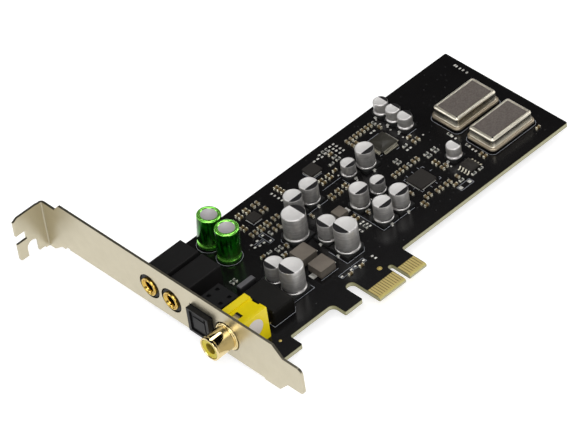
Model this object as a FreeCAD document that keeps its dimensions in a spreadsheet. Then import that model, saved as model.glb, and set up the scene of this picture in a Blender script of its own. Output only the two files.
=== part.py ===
import FreeCAD, Part
import math
import os
import Sketcher
from FreeCAD import Placement, Rotation, Vector

# A desktop sound card on a short expansion board, with its mounting bracket.
#
# The frame, in millimetres: X = 0 is the outer face of the bracket, and +X runs along the board,
# away from it. Y = 0 is the tips of the edge contacts, and +Y runs to the bracket's screw tab.
# Z = 0 is the board's component face, and +Z stands out of it.
#
# Every size below is one cell of the document's sheet, under the same name.

SIZES = {
    # Circuit board
    "board_thickness": 1.6,
    "board_left": 1.2,
    "board_right": 141.7,
    "board_top": 66.26,
    "board_lower_edge": 11.06,
    "board_corner_radius": 0.5,
    "board_inner_radius": 0.9,
    "foot_right": 16.0,
    "foot_bottom": 4.26,
    "recess_top": 9.9,
    "recess_radius": 2.0,
    "hook_left": 34.4,
    "hook_right": 41.93,
    "hook_bottom": 4.1,
    "hook_slot_width": 3.6,
    "hook_slot_top": 12.7,
    # Edge connector
    "front_row_width": 11.3,
    "key_width": 1.9,
    "key_top": 8.5,
    "rear_row_width": 7.2,
    "bevel_height": 0.6,
    "bevel_depth": 0.35,
    "contact_pitch": 1.0,
    "contact_width": 0.7,
    "contact_top": 5.5,
    "contact_thickness": 0.05,
    "front_row_count": 11,
    "rear_row_count": 7,
    # Bracket
    "sheet_thickness": 0.86,
    "bend_radius": 0.5,
    "bracket_upper_edge": 15.3,
    "tongue_tip": -13.4,
    "tongue_lower": 1.1,
    "tongue_lower_end": -6.0,
    "tongue_upper": 11.6,
    "tongue_upper_end": -5.2,
    "tongue_radius": 2.0,
    "upper_edge_start": -1.2,
    "shoulder_lower": -3.12,
    "shoulder_start": -2.0,
    "shoulder_end": 4.5,
    "shoulder_step": 0.6,
    "neck_upper": 12.3,
    "neck_upper_slope": 2.6,
    "neck_lower": -6.4,
    "neck_lower_slope": 4.0,
    "jog_start": 97.3,
    "relief_start": 2.3,
    "relief_slope": 0.3,
    "relief_end": 0.8,
    "relief_depth": 0.46,
    "heel_start": 0.2,
    "heel_length": 1.7,
    "heel_lower": -3.3,
    "tab_face": 106.84,
    "tab_reach": 12.0,
    "tab_upper": 12.5,
    "tab_lower": -4.9,
    "tab_inner_lower": -5.6,
    "tab_notch_lower": 2.2,
    "tab_notch_upper": 5.7,
    "tab_notch_depth": 4.0,
    "tab_corner_length": 1.9,
    "tab_corner_drop": 1.0,
    "tab_tip_radius": 1.0,
    "tab_step": 1.4,
    "tab_step_slope": 0.6,
    "tab_slot_x": -6.3,
    "tab_slot_radius": 2.21,
    "tab_slot_top": 0.3,
    "ear_reach": 8.6,
    "lower_ear_start": 5.5,
    "lower_ear_width": 7.5,
    "upper_ear_start": 60.4,
    "upper_ear_width": 5.0,
    "ear_corner_radius": 1.2,
    # Screws through the board into the ears
    "screw_x": 5.1,
    "lower_screw_y": 9.2,
    "upper_screw_y": 63.0,
    "screw_radius": 1.45,
    "screw_hole_radius": 1.6,
    "screw_tip": 0.5,
    "screw_head_radius": 2.6,
    "screw_head_height": 1.9,
    "screw_head_round": 0.7,
    "screw_recess_length": 2.9,
    "screw_recess_width": 0.6,
    "screw_recess_depth": 1.0,
    # Headphone and line jacks
    "jack_1_y": 55.75,
    "jack_2_y": 45.65,
    "jack_axis_height": 5.5,
    "jack_front": 2.5,
    "jack_length": 15.2,
    "jack_width": 8.6,
    "jack_height": 10.0,
    "jack_edge_round": 0.4,
    "jack_neck_radius": 4.1,
    "jack_neck_front": 0.3,
    "jack_hole_radius": 4.5,
    "jack_cavity_depth": 14.5,
    "collar_front": -0.6,
    "collar_radius": 3.25,
    "collar_sleeve_radius": 2.6,
    "collar_sleeve_length": 5.0,
    "collar_bore_radius": 1.8,
    "collar_mouth": 0.35,
    "blade_thickness": 0.25,
    "blade_offset": 2.0,
    "blade_height": 1.5,
    "blade_length": 3.0,
    "leg_width": 1.1,
    "first_blade_x": 7.0,
    "second_blade_x": 12.0,
    # Optical output with its hinged shutter
    "optical_y": 31.45,
    "optical_front": -1.9,
    "optical_front_width": 9.8,
    "optical_front_height": 9.6,
    "optical_front_depth": 3.4,
    "optical_back": 11.8,
    "optical_width": 8.9,
    "optical_height": 10.0,
    "socket_width": 7.4,
    "socket_lower": 0.9,
    "socket_roof": 0.5,
    "socket_back": 8.0,
    "optical_cutout_gap": 0.3,
    "latch_size": 1.3,
    "latch_depth": 0.8,
    "latch_spread": 5.4,
    "latch_front_x": 5.95,
    "latch_back_x": 9.65,
    "emitter_width": 6.2,
    "emitter_height": 8.0,
    "emitter_front": 8.6,
    "emitter_back": 11.3,
    "emitter_gap": 0.1,
    "emitter_lift": 0.3,
    "emitter_leg_height": 1.6,
    "lens_radius": 2.0,
    "lens_reach": 0.9,
    "pin_pitch": 2.54,
    "pin_side": 0.5,
    "shutter_gap": 0.15,
    "shutter_front": -1.3,
    "shutter_thickness": 0.6,
    "shutter_lower": 1.2,
    "hinge_x": -0.8,
    "hinge_drop": 0.6,
    "hinge_radius": 0.42,
    "hinge_pin_radius": 0.25,
    "hinge_pin_length": 0.5,
    "hinge_hole_radius": 0.3,
    "panel_margin": 0.9,
    "panel_raise": 0.25,
    "spring_notch_width": 1.3,
    "spring_notch_height": 1.5,
    "spring_coil_radius": 0.37,
    "spring_wire": 0.12,
    "spring_pitch": 0.26,
    "spring_turns": 3,
    "spring_leg": 0.5,
    # Coaxial output
    "coax_y": 20.1,
    "coax_axis_height": 5.85,
    "coax_radius": 4.15,
    "coax_tip": -7.7,
    "coax_rim": 0.3,
    "coax_flange_radius": 5.0,
    "coax_flange_front": -0.5,
    "coax_hole_radius": 5.3,
    "coax_back": 4.2,
    "coax_inner_radius": 3.45,
    "coax_housing_low_y": 14.4,
    "coax_housing_high_y": 24.3,
    "coax_housing_back": 12.3,
    "coax_housing_height": 12.4,
    "coax_bore_depth": 5.3,
    "coax_step_y": 21.5,
    "coax_step_depth": 0.6,
    "coax_slope_end_y": 15.4,
    "coax_window_front": 1.6,
    "coax_window_low_y": 17.4,
    "coax_window_high_y": 20.2,
    "coax_groove_depth": 0.6,
    "coax_groove_low_y": 17.4,
    "coax_groove_high_y": 20.9,
    "insulator_front": -7.3,
    "funnel_radius": 2.6,
    "funnel_depth": 1.0,
    "centre_radius": 2.0,
    "centre_bore_radius": 1.6,
    "centre_front": -5.6,
    "centre_throat_radius": 1.75,
    "tail_width": 1.2,
    "tail_thickness": 0.35,
    "sticker_radius": 2.8,
    "sticker_thickness": 0.08,
    "sticker_x": 6.7,
    "sticker_height": 7.4,
    # Radial capacitors in shrink sleeves
    "sleeve_radius": 4.0,
    "sleeve_height": 12.4,
    "sleeve_wall": 0.15,
    "sleeve_mouth_radius": 3.0,
    "sleeve_fold_radius": 3.3,
    "sleeve_round": 0.4,
    "bung_radius": 3.2,
    "bung_depth": 0.8,
    "lead_radius": 0.3,
    "lead_pitch": 3.5,
    "lead_gap": 0.04,
    # Surface capacitors, three sizes
    "large_can_radius": 4.0,
    "large_can_height": 10.2,
    "large_base_side": 8.3,
    "medium_can_radius": 3.15,
    "medium_can_height": 7.7,
    "medium_base_side": 6.6,
    "small_can_radius": 2.5,
    "small_can_height": 5.4,
    "small_base_side": 5.3,
    "base_height": 1.0,
    "base_chamfer_share": 0.16,
    "skirt_flare": 0.16,
    "skirt_height": 0.35,
    "groove_depth": 0.25,
    "groove_start": 0.8,
    "groove_end": 1.5,
    "can_rim": 0.4,
    "terminal_reach": 0.6,
    "terminal_width": 0.9,
    "terminal_thickness": 0.2,
    # Oscillator modules
    "oscillator_x": 125.45,
    "oscillator_1_y": 41.0,
    "oscillator_2_y": 25.0,
    "header_length": 20.2,
    "header_width": 12.8,
    "header_lift": 0.8,
    "header_thickness": 0.5,
    "header_radius": 2.0,
    "lid_flange": 0.6,
    "lid_end_step": 1.0,
    "lid_side_step": 0.85,
    "lid_top": 5.2,
    "lid_radius": 1.3,
    "lid_round": 0.6,
    "oscillator_pin_length": 15.24,
    "oscillator_pin_width": 7.62,
    "oscillator_pin_radius": 0.25,
    "bead_radius": 0.8,
    # Relay, film capacitor and inductors
    "relay_length": 14.2,
    "relay_width": 9.2,
    "relay_height": 5.4,
    "relay_x": 20.9,
    "relay_y": 23.9,
    "relay_bevel": 0.4,
    "relay_pin_row": 7.62,
    "relay_pin_step": 2.54,
    "film_length": 6.7,
    "film_width": 2.3,
    "film_height": 6.5,
    "film_x": 19.95,
    "film_y": 32.75,
    "film_bevel": 0.25,
    "film_pin_pitch": 5.0,
    "choke_length": 6.5,
    "choke_width": 6.4,
    "choke_height": 3.0,
    "choke_chamfer": 0.7,
    "choke_x": 43.25,
    "choke_1_y": 31.8,
    "choke_2_y": 23.5,
    "choke_terminal_reach": 1.7,
    "choke_terminal_width": 2.2,
    "choke_terminal_thickness": 0.3,
    "small_choke_side": 4.2,
    "small_choke_height": 2.0,
    "small_choke_x": 64.2,
    "small_choke_y": 37.0,
    # Chips
    "many_lead_side": 7.0,
    "many_lead_height": 1.5,
    "many_lead_x": 96.8,
    "many_lead_y": 50.6,
    "many_lead_count": 12,
    "many_lead_pitch": 0.5,
    "fine_lead_width": 0.22,
    "chip_lift": 0.1,
    "lead_reach": 1.0,
    "lead_thickness": 0.15,
    "lead_shoulder": 0.8,
    "lead_bend_start": 0.3,
    "lead_bend_end": 0.5,
    "eight_lead_length": 4.9,
    "eight_lead_width": 3.9,
    "eight_lead_height": 1.6,
    "eight_lead_x": 106.65,
    "eight_lead_y": 20.75,
    "eight_lead_pitch": 1.27,
    "wide_lead_width": 0.42,
    "large_flat_side": 7.0,
    "large_flat_height": 0.85,
    "large_flat_x": 92.4,
    "large_flat_y": 28.6,
    "small_flat_side": 4.0,
    "small_flat_height": 0.75,
    "small_flat_x": 46.0,
    "small_flat_y": 57.7,
    "upper_flat_side": 4.8,
    "upper_flat_height": 0.9,
    "upper_flat_x": 73.5,
    "upper_flat_y": 59.3,
    # Chip capacitors and resistors
    "chip_length": 1.7,
    "chip_width": 0.9,
    "chip_capacitor_height": 0.8,
    "chip_resistor_height": 0.5,
    # Solder joints under the board
    "joint_radius": 0.85,
    "joint_tip_radius": 0.3,
    "joint_height": 0.95,
}

# Where the surface capacitors stand, and the way the dark side of each points, in degrees
# anticlockwise from +X.
LARGE_CANS = [(48.8, 40.8, 0), (55.3, 24.1, 180), (31.6, 24.0, 180)]
MEDIUM_CANS = [
    (56.1, 49.2, 270), (63.2, 49.3, 270), (71.8, 35.3, 270), (72.05, 24.9, 270),
    (79.4, 24.9, 270), (86.4, 47.4, 270), (54.6, 32.3, 180), (30.8, 31.5, 180),
]
SMALL_CANS = [
    (80.0, 35.4, 270), (79.8, 48.6, 270), (107.4, 61.6, 0),
    (107.4, 55.9, 0), (107.4, 50.5, 0), (107.0, 28.0, 0),
]

# Foot of each radial capacitor and how far its top leans from that, as they stand on the board.
RADIAL_CAPS = [(28.85, 50.8, 0.42, -0.40), (28.9, 60.1, 0.93, -0.93)]

# Centres of the chip capacitors and chip resistors that lie along X, and of those along Y.
CAPACITORS_ALONG_X = [
    (43.4, 62.5), (43.4, 60.9), (46.5, 62.5), (46.5, 60.9), (40.4, 57.2), (40.4, 55.6),
    (43.9, 52.9), (43.9, 51.3), (46.8, 52.9), (46.8, 51.3), (60.3, 62.4), (60.3, 60.8),
    (60.3, 59.2), (71.7, 53.5), (71.7, 51.8), (74.8, 53.5), (74.8, 51.8), (77.9, 53.4),
    (68.6, 46.0), (68.6, 44.3), (71.8, 46.0), (71.8, 44.3), (75.0, 46.0), (75.0, 44.3),
    (82.6, 60.1), (104.4, 46.1), (101.1, 31.3), (101.1, 29.7), (84.9, 20.4), (84.9, 18.7),
    (97.6, 18.3), (113.2, 22.1), (113.2, 20.3), (47.4, 15.0), (52.2, 15.0), (66.5, 33.2),
    (66.5, 31.4), (35.2, 42.2), (40.2, 37.2), (133.9, 16.6),
]
CAPACITORS_ALONG_Y = [
    (49.6, 61.8), (51.4, 61.8), (49.6, 57.8), (51.4, 57.8), (39.8, 52.2), (41.6, 52.2),
    (49.6, 52.3), (51.3, 52.3), (46.4, 48.4), (48.4, 48.4), (43.5, 39.9), (90.1, 60.0),
    (91.9, 60.0), (93.6, 60.0), (95.4, 60.0), (97.1, 60.0), (98.8, 60.0), (100.5, 60.0),
    (90.1, 57.4), (91.8, 57.4), (101.9, 57.0), (103.8, 43.3), (105.6, 43.3), (88.0, 36.6),
    (89.8, 36.6), (91.5, 36.6), (93.3, 36.6), (96.9, 36.6), (98.6, 36.6), (100.6, 27.1),
    (102.2, 27.1), (85.8, 26.4), (87.5, 21.4), (89.2, 21.4), (91.8, 20.7), (93.6, 20.7),
    (95.8, 20.7), (97.5, 20.7), (100.7, 20.5), (70.8, 30.8), (58.3, 43.6),
]
RESISTORS_ALONG_X = [
    (82.6, 58.3), (82.6, 56.6), (79.6, 56.5), (93.6, 41.4), (93.6, 39.8), (100.6, 44.1),
    (102.1, 36.0), (105.3, 36.0), (102.1, 34.4), (105.3, 34.4), (100.3, 18.3),
    (105.1, 17.4), (108.2, 17.4), (38.0, 42.1),
]
RESISTORS_ALONG_Y = [
    (44.4, 48.3), (81.8, 62.4), (83.4, 62.4), (102.1, 59.9), (95.1, 36.6), (113.5, 28.3),
    (113.6, 36.7), (65.6, 26.8), (40.3, 40.9), (41.9, 40.9), (20.9, 41.2), (22.3, 41.2),
]

TOUCH = 0.001
FULL_TURN = 360
SIDES = 8
MITRE = math.sqrt(2) - 1
TURNS = {"x": Rotation(Vector(0, 1, 0), 90), "y": Rotation(Vector(1, 0, 0), -90), "z": Rotation()}

doc = FreeCAD.newDocument("SoundCard")
sheet = doc.addObject("Spreadsheet::Sheet", "Sizes")
nodes = []


# Sizes that carry their own formulas

class Size:
    """A number together with the sheet formula that gives it."""

    def __init__(self, value, formula):
        self.value = value
        self.formula = formula

    def __add__(self, other):
        other = as_size(other)
        return Size(self.value + other.value, f"({self.formula} + {other.formula})")

    def __sub__(self, other):
        other = as_size(other)
        return Size(self.value - other.value, f"({self.formula} - {other.formula})")

    def __mul__(self, other):
        other = as_size(other)
        return Size(self.value * other.value, f"({self.formula} * {other.formula})")

    def __truediv__(self, other):
        other = as_size(other)
        return Size(self.value / other.value, f"({self.formula} / {other.formula})")

    def __neg__(self):
        return Size(-self.value, f"(0 - {self.formula})")

    def __radd__(self, other):
        return as_size(other) + self

    def __rsub__(self, other):
        return as_size(other) - self

    def __rmul__(self, other):
        return as_size(other) * self


def as_size(number):
    """The number itself where it is a Size already, and otherwise a Size with no name in it."""
    return number if isinstance(number, Size) else Size(float(number), f"({float(number)})")


class Sheet:
    """Gives each named cell of the sheet as a Size."""

    def __getattr__(self, name):
        return Size(SIZES[name], f"Sizes.{name}")


s = Sheet()


def fill_sheet():
    """Writes every size into a cell of its own and gives the cell the size's name."""
    for row, (name, value) in enumerate(SIZES.items(), 1):
        sheet.set(f"A{row}", name)
        sheet.set(f"B{row}", str(value))
        sheet.setAlias(f"B{row}", name)
    doc.recompute()


def bind(thing, setting, size):
    """Ties one setting of an object to a formula of the sheet."""
    thing.setExpression(setting, as_size(size).formula)


def place(thing, x=0, y=0, z=0):
    """Ties an object's place to the sheet."""
    for axis, size in zip("xyz", (x, y, z)):
        bind(thing, f"Placement.Base.{axis}", size)
    return thing


def node(label, thing):
    """Marks an object as one finished piece, under the name that its file gets."""
    thing.Label = label
    nodes.append(thing)
    return thing


# Simple solids and how they are joined

def block(name, x, y, z):
    """A box between two limits along each axis."""
    box = doc.addObject("Part::Box", name)
    for side, (low, high) in zip(("Length", "Width", "Height"), (x, y, z)):
        bind(box, side, as_size(high) - low)
    return place(box, x[0], y[0], z[0])


def around(middle, width):
    """The two limits of a width about its middle."""
    return (middle - width / 2, middle + width / 2)


def rod(name, axis, x, y, z, radius):
    """A round bar: the limits are given along its own axis and the centre along the others."""
    bar = doc.addObject("Part::Cylinder", name)
    bar.Placement = Placement(Vector(), TURNS[axis])
    spans = dict(zip("xyz", (x, y, z)))
    low, high = spans[axis]
    spans[axis] = low
    bind(bar, "Radius", radius)
    bind(bar, "Height", as_size(high) - low)
    return place(bar, **spans)


def prism(name, x, y, z, radius):
    """An upright bar with eight sides, between two limits along Z."""
    bar = doc.addObject("Part::Prism", name)
    bar.Polygon = SIDES
    bind(bar, "Circumradius", radius)
    bind(bar, "Height", as_size(z[1]) - z[0])
    return place(bar, x, y, z[0])


def cut(name, base, tools):
    """The base with every tool taken out of it."""
    result = base
    for number, tool in enumerate(tools, 1):
        step = doc.addObject("Part::Cut", f"{name}Cut{number}")
        step.Base = result
        step.Tool = tool
        result = step
    return result


def fuse(name, pieces):
    """Several solids as one."""
    whole = doc.addObject("Part::MultiFuse", name)
    whole.Shapes = pieces
    return whole


def group(name, pieces):
    """Several separate solids kept side by side."""
    whole = doc.addObject("Part::Compound", name)
    whole.Links = pieces
    return whole


def copies(name, master, places):
    """The same solid at several places: each place is x, y and a turn about Z in degrees."""
    links = []
    for number, (x, y, turn) in enumerate(places, 1):
        link = doc.addObject("App::Link", f"{name}{number}")
        link.LinkedObject = master
        link.Placement = Placement(Vector(), Rotation(Vector(0, 0, 1), turn))
        links.append(place(link, x, y))
    return links


# Bodies made of sketches and features

class Round:
    """A circle in a sketch."""

    def __init__(self, x, y, radius):
        self.x = as_size(x)
        self.y = as_size(y)
        self.radius = as_size(radius)


def new_body(name):
    """An empty body."""
    return doc.addObject("PartDesign::Body", name)


def sketch(body, role, loops, offset=0):
    """A sketch of closed loops on one of the body's own planes, shifted along its normal.

    A loop is a list of (x, y) corners joined by straight lines, or a Round.
    """
    drawing = body.newObject("Sketcher::SketchObject", f"{body.Name}Sketch")
    plane = next(item for item in body.Origin.OriginFeatures if item.Role == role)
    drawing.AttachmentSupport = [(plane, "")]
    drawing.MapMode = "FlatFace"
    bind(drawing, "AttachmentOffset.Base.z", offset)
    rules = []
    formulas = []
    count = 0
    for loop in loops:
        if isinstance(loop, Round):
            centre = Vector(loop.x.value, loop.y.value, 0)
            circle = Part.Circle(centre, Vector(0, 0, 1), loop.radius.value)
            drawing.addGeometry(circle, False)
            rules += [
                Sketcher.Constraint("DistanceX", -1, 1, count, 3, loop.x.value),
                Sketcher.Constraint("DistanceY", -1, 1, count, 3, loop.y.value),
                Sketcher.Constraint("Radius", count, loop.radius.value),
            ]
            formulas += [loop.x.formula, loop.y.formula, loop.radius.formula]
            count += 1
            continue
        corners = [(as_size(x), as_size(y)) for x, y in loop]
        size = len(corners)
        for number, (x, y) in enumerate(corners):
            far_x, far_y = corners[(number + 1) % size]
            start = Vector(x.value, y.value, 0)
            end = Vector(far_x.value, far_y.value, 0)
            drawing.addGeometry(Part.LineSegment(start, end), False)
            joined = count + (number + 1) % size
            rules += [
                Sketcher.Constraint("Coincident", count + number, 2, joined, 1),
                Sketcher.Constraint("DistanceX", -1, 1, count + number, 1, x.value),
                Sketcher.Constraint("DistanceY", -1, 1, count + number, 1, y.value),
            ]
            formulas += [None, x.formula, y.formula]
        count += size
    drawing.addConstraint(rules)
    for number, formula in enumerate(formulas):
        if formula and "Sizes" in formula:
            drawing.setExpression(f"Constraints[{number}]", formula)
    return drawing


def pad(body, profile, length, reverse=False):
    """The sketch grown along its normal, or against it."""
    feature = body.newObject("PartDesign::Pad", f"{body.Name}Pad")
    feature.Profile = profile
    feature.Reversed = reverse
    bind(feature, "Length", length)
    doc.recompute()
    return feature


def pocket(body, profile, length, reverse=False):
    """The sketch cut out against its normal, or along it, which has to take something away."""
    before = body.Shape.Volume
    feature = body.newObject("PartDesign::Pocket", f"{body.Name}Pocket")
    feature.Profile = profile
    feature.Reversed = reverse
    bind(feature, "Length", length)
    doc.recompute()
    if body.Shape.Volume > before - TOUCH ** 2:
        raise RuntimeError(f"{feature.Name} cuts nothing")
    return feature


def turned(body, profile, axis):
    """The sketch turned once about one of its own axes."""
    feature = body.newObject("PartDesign::Revolution", f"{body.Name}Turned")
    feature.Profile = profile
    feature.ReferenceAxis = (profile, [axis])
    feature.Angle = FULL_TURN
    doc.recompute()
    return feature


def edges_at(shape, axis, spots):
    """Names of the straight edges along an axis that stand at the given spots of the others."""
    across = [number for number in range(3) if "xyz"[number] != axis]
    wanted = [[as_size(part).value for part in spot] for spot in spots]
    names = []
    for number, edge in enumerate(shape.Edges, 1):
        if not isinstance(edge.Curve, Part.Line):
            continue
        ends = [[vertex.Point[k] for k in across] for vertex in edge.Vertexes]
        for spot in wanted:
            if all(abs(end[k] - spot[k]) < TOUCH for end in ends for k in range(2)):
                names.append(f"Edge{number}")
    return names


def faces_at(shape, axis, level):
    """Names of the flat faces that lie square to an axis, at one level."""
    wanted = as_size(level).value
    number_of_axis = "xyz".index(axis)
    names = []
    for number, face in enumerate(shape.Faces, 1):
        box = face.BoundBox
        low = (box.XMin, box.YMin, box.ZMin)[number_of_axis]
        high = (box.XMax, box.YMax, box.ZMax)[number_of_axis]
        if isinstance(face.Surface, Part.Plane) and abs(low - wanted) < TOUCH and high - low < TOUCH:
            names.append(f"Face{number}")
    return names


def dress(body, kind, names, size):
    """A fillet or a chamfer of one size on the named edges of the body."""
    base = body.Tip
    feature = body.newObject(f"PartDesign::{kind}", f"{body.Name}{kind}")
    feature.Base = (base, names)
    bind(feature, "Radius" if kind == "Fillet" else "Size", size)
    body.Tip = feature
    doc.recompute()
    return feature


def round_corners(body, spots, radius, axis="z"):
    """Rounds the body's edges that run along an axis at the given spots."""
    return dress(body, "Fillet", edges_at(body.Tip.Shape, axis, spots), radius)


# Circuit board and its contacts

def connector_limits():
    """X of the edge connector's four ends: front row, then rear row."""
    front = s.hook_right + s.hook_slot_width
    key = front + s.front_row_width
    rear = key + s.key_width
    return front, key, rear, rear + s.rear_row_width


def circuit_board():
    """The board, with its hook, the key of its edge connector and a bevel on the tips."""
    front, key, rear, end = connector_limits()
    slot_y = s.hook_slot_top - s.hook_slot_width / 2
    key_y = s.key_top - s.key_width / 2
    body = new_body("Board")
    outline = [
        (s.board_left, s.foot_bottom), (s.foot_right, s.foot_bottom),
        (s.foot_right, s.recess_top), (s.hook_left, s.recess_top),
        (s.hook_left, s.hook_bottom), (s.hook_right, s.hook_bottom),
        (s.hook_right, slot_y), (front, slot_y), (front, 0), (key, 0),
        (key, key_y), (rear, key_y), (rear, 0), (end, 0),
        (end, s.board_lower_edge), (s.board_right, s.board_lower_edge),
        (s.board_right, s.board_top), (s.board_left, s.board_top),
    ]
    pad(body, sketch(body, "XY_Plane", [outline]), s.board_thickness, reverse=True)
    holes = [
        Round(s.hook_right + s.hook_slot_width / 2, slot_y, s.hook_slot_width / 2),
        Round(key + s.key_width / 2, key_y, s.key_width / 2),
        Round(s.screw_x, s.lower_screw_y, s.screw_hole_radius),
        Round(s.screw_x, s.upper_screw_y, s.screw_hole_radius),
    ]
    pocket(body, sketch(body, "XY_Plane", holes), s.board_thickness)
    bevels = [
        [(0, 0), (s.bevel_height, 0), (0, -s.bevel_depth)],
        [(0, -s.board_thickness), (0, s.bevel_depth - s.board_thickness),
         (s.bevel_height, -s.board_thickness)],
    ]
    pocket(body, sketch(body, "YZ_Plane", bevels), s.board_right, reverse=True)
    round_corners(body, [(s.hook_left, s.recess_top)], s.recess_radius)
    inner = [(s.foot_right, s.recess_top), (end, s.board_lower_edge)]
    round_corners(body, inner, s.board_inner_radius)
    outer = [
        (s.board_right, s.board_top), (s.board_right, s.board_lower_edge),
        (s.foot_right, s.foot_bottom), (s.hook_left, s.hook_bottom), (s.hook_right, s.hook_bottom),
    ]
    round_corners(body, outer, s.board_corner_radius)
    node("circuit_board", body)


def contact_centres():
    """X of the middle of every edge contact, centred on its row."""
    front, key, rear, end = connector_limits()
    rows = [(front, key, s.front_row_count), (rear, end, s.rear_row_count)]
    centres = []
    for low, high, count in rows:
        first = (low + high) / 2 - (count - 1) * s.contact_pitch / 2
        centres += [first + number * s.contact_pitch for number in range(int(count.value))]
    return centres


def edge_contacts():
    """The gold contacts, as thin plates on both faces of the board, above the bevel."""
    under = -s.board_thickness
    sides = {"front": (0, s.contact_thickness), "back": (under - s.contact_thickness, under)}
    for side, z in sides.items():
        plates = []
        for number, centre in enumerate(contact_centres(), 1):
            x = around(centre, s.contact_width)
            plates.append(block(f"{side}Contact{number}", x, (s.bevel_height, s.contact_top), z))
        node(f"edge_contacts_{side}", group(f"{side}Contacts", plates))


# Bracket and screws

def ear_limits():
    """Y limits of the two ears that fold under the board."""
    lower = (s.lower_ear_start, s.lower_ear_start + s.lower_ear_width)
    upper = (s.upper_ear_start, s.upper_ear_start + s.upper_ear_width)
    return lower, upper


def bracket():
    """The folded bracket: a long plate, a screw tab bent outwards and two ears bent inwards."""
    body = new_body("Bracket")
    lower_edge = -(s.board_thickness + s.sheet_thickness)
    relief = lower_edge + s.relief_depth
    heel = s.jog_start + s.heel_start
    plate = [
        (s.tongue_tip, s.tongue_lower), (s.tongue_lower_end, s.tongue_lower),
        (s.shoulder_start, s.shoulder_lower), (s.shoulder_end, s.shoulder_lower),
        (s.shoulder_end + s.shoulder_step, lower_edge), (s.jog_start - s.relief_start, lower_edge),
        (s.jog_start - s.relief_start + s.relief_slope, relief),
        (s.jog_start - s.relief_end, relief), (heel, s.heel_lower),
        (heel + s.heel_length, s.heel_lower),
        (heel + s.heel_length + s.neck_lower_slope, s.neck_lower),
        (s.tab_face, s.neck_lower), (s.tab_face, s.neck_upper),
        (s.jog_start + s.neck_upper_slope, s.neck_upper), (s.jog_start, s.bracket_upper_edge),
        (s.upper_edge_start, s.bracket_upper_edge), (s.tongue_upper_end, s.tongue_upper),
        (s.tongue_tip, s.tongue_upper),
    ]
    port = s.optical_front_width / 2 + s.optical_cutout_gap
    port_top = s.optical_front_height + s.optical_cutout_gap
    openings = [
        Round(s.jack_1_y, s.jack_axis_height, s.jack_hole_radius),
        Round(s.jack_2_y, s.jack_axis_height, s.jack_hole_radius),
        Round(s.coax_y, s.coax_axis_height, s.coax_hole_radius),
        [(s.optical_y - port, -s.optical_cutout_gap), (s.optical_y + port, -s.optical_cutout_gap),
         (s.optical_y + port, port_top), (s.optical_y - port, port_top)],
    ]
    pad(body, sketch(body, "YZ_Plane", [plate] + openings), s.sheet_thickness)
    slot_low = s.tab_slot_x - s.tab_slot_radius
    slot_high = s.tab_slot_x + s.tab_slot_radius
    slot_z = s.tab_slot_top - s.tab_slot_radius
    notch = s.tab_notch_depth - s.tab_reach
    tab = [
        (s.sheet_thickness, s.neck_lower), (s.sheet_thickness, s.neck_upper),
        (-s.tab_step, s.neck_upper), (-(s.tab_step + s.tab_step_slope), s.tab_upper),
        (s.tab_corner_length - s.tab_reach, s.tab_upper),
        (-s.tab_reach, s.tab_upper - s.tab_corner_drop),
        (-s.tab_reach, s.tab_notch_upper),
        (notch, s.tab_notch_upper), (notch, s.tab_notch_lower),
        (-s.tab_reach, s.tab_notch_lower), (-s.tab_reach, s.tab_lower),
        (slot_low, s.tab_lower), (slot_low, slot_z), (slot_high, slot_z),
        (slot_high, s.tab_inner_lower), (-s.tab_step, s.tab_inner_lower),
        (-s.tab_step, s.neck_lower),
    ]
    pad(body, sketch(body, "XZ_Plane", [tab], -s.tab_face), s.sheet_thickness)
    slot_end = [Round(s.tab_slot_x, slot_z, s.tab_slot_radius)]
    pocket(body, sketch(body, "XZ_Plane", slot_end, -s.tab_face), s.sheet_thickness, reverse=True)
    ears = []
    corners = []
    for low, high in ear_limits():
        ears.append([(0, low), (s.ear_reach, low), (s.ear_reach, high), (0, high)])
        corners += [(s.ear_reach, low), (s.ear_reach, high)]
    pad(body, sketch(body, "XY_Plane", ears, lower_edge), s.sheet_thickness)
    threads = [
        Round(s.screw_x, s.lower_screw_y, s.screw_radius),
        Round(s.screw_x, s.upper_screw_y, s.screw_radius),
    ]
    pocket(body, sketch(body, "XY_Plane", threads, -s.board_thickness), s.sheet_thickness)
    round_corners(body, corners, s.ear_corner_radius)
    round_corners(body, [(s.sheet_thickness, s.tab_face)], s.bend_radius + s.sheet_thickness)
    round_corners(body, [(0, s.tab_face - s.sheet_thickness)], s.bend_radius)
    tips = [(s.tongue_tip, s.tongue_lower), (s.tongue_tip, s.tongue_upper)]
    round_corners(body, tips, s.tongue_radius, axis="x")
    round_corners(body, [(-s.tab_reach, s.tab_lower)], s.tab_tip_radius, axis="y")
    node("bracket", body)


def bracket_screws():
    """Two cross-recessed pan head screws, through the board into the ears."""
    tip = -(s.board_thickness + s.sheet_thickness + s.screw_tip)
    crown = s.screw_head_height
    body = new_body("Screw")
    profile = [
        (0, tip), (s.screw_radius, tip), (s.screw_radius, 0), (s.screw_head_radius, 0),
        (s.screw_head_radius, crown - s.screw_head_round),
        (s.screw_head_radius - s.screw_head_round, crown), (0, crown),
    ]
    turned(body, sketch(body, "XZ_Plane", [profile]), "V_Axis")
    arm = s.screw_recess_length / 2
    side = s.screw_recess_width / 2
    cross = [
        (-arm, -side), (-side, -side), (-side, -arm), (side, -arm), (side, -side), (arm, -side),
        (arm, side), (side, side), (side, arm), (-side, arm), (-side, side), (-arm, side),
    ]
    pocket(body, sketch(body, "XY_Plane", [cross], crown), s.screw_recess_depth)
    spots = [(s.screw_x, s.lower_screw_y, 0), (s.screw_x, s.upper_screw_y, 45)]
    node("bracket_screws", group("Screws", copies("Screw", body, spots)))


# Jacks

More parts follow.
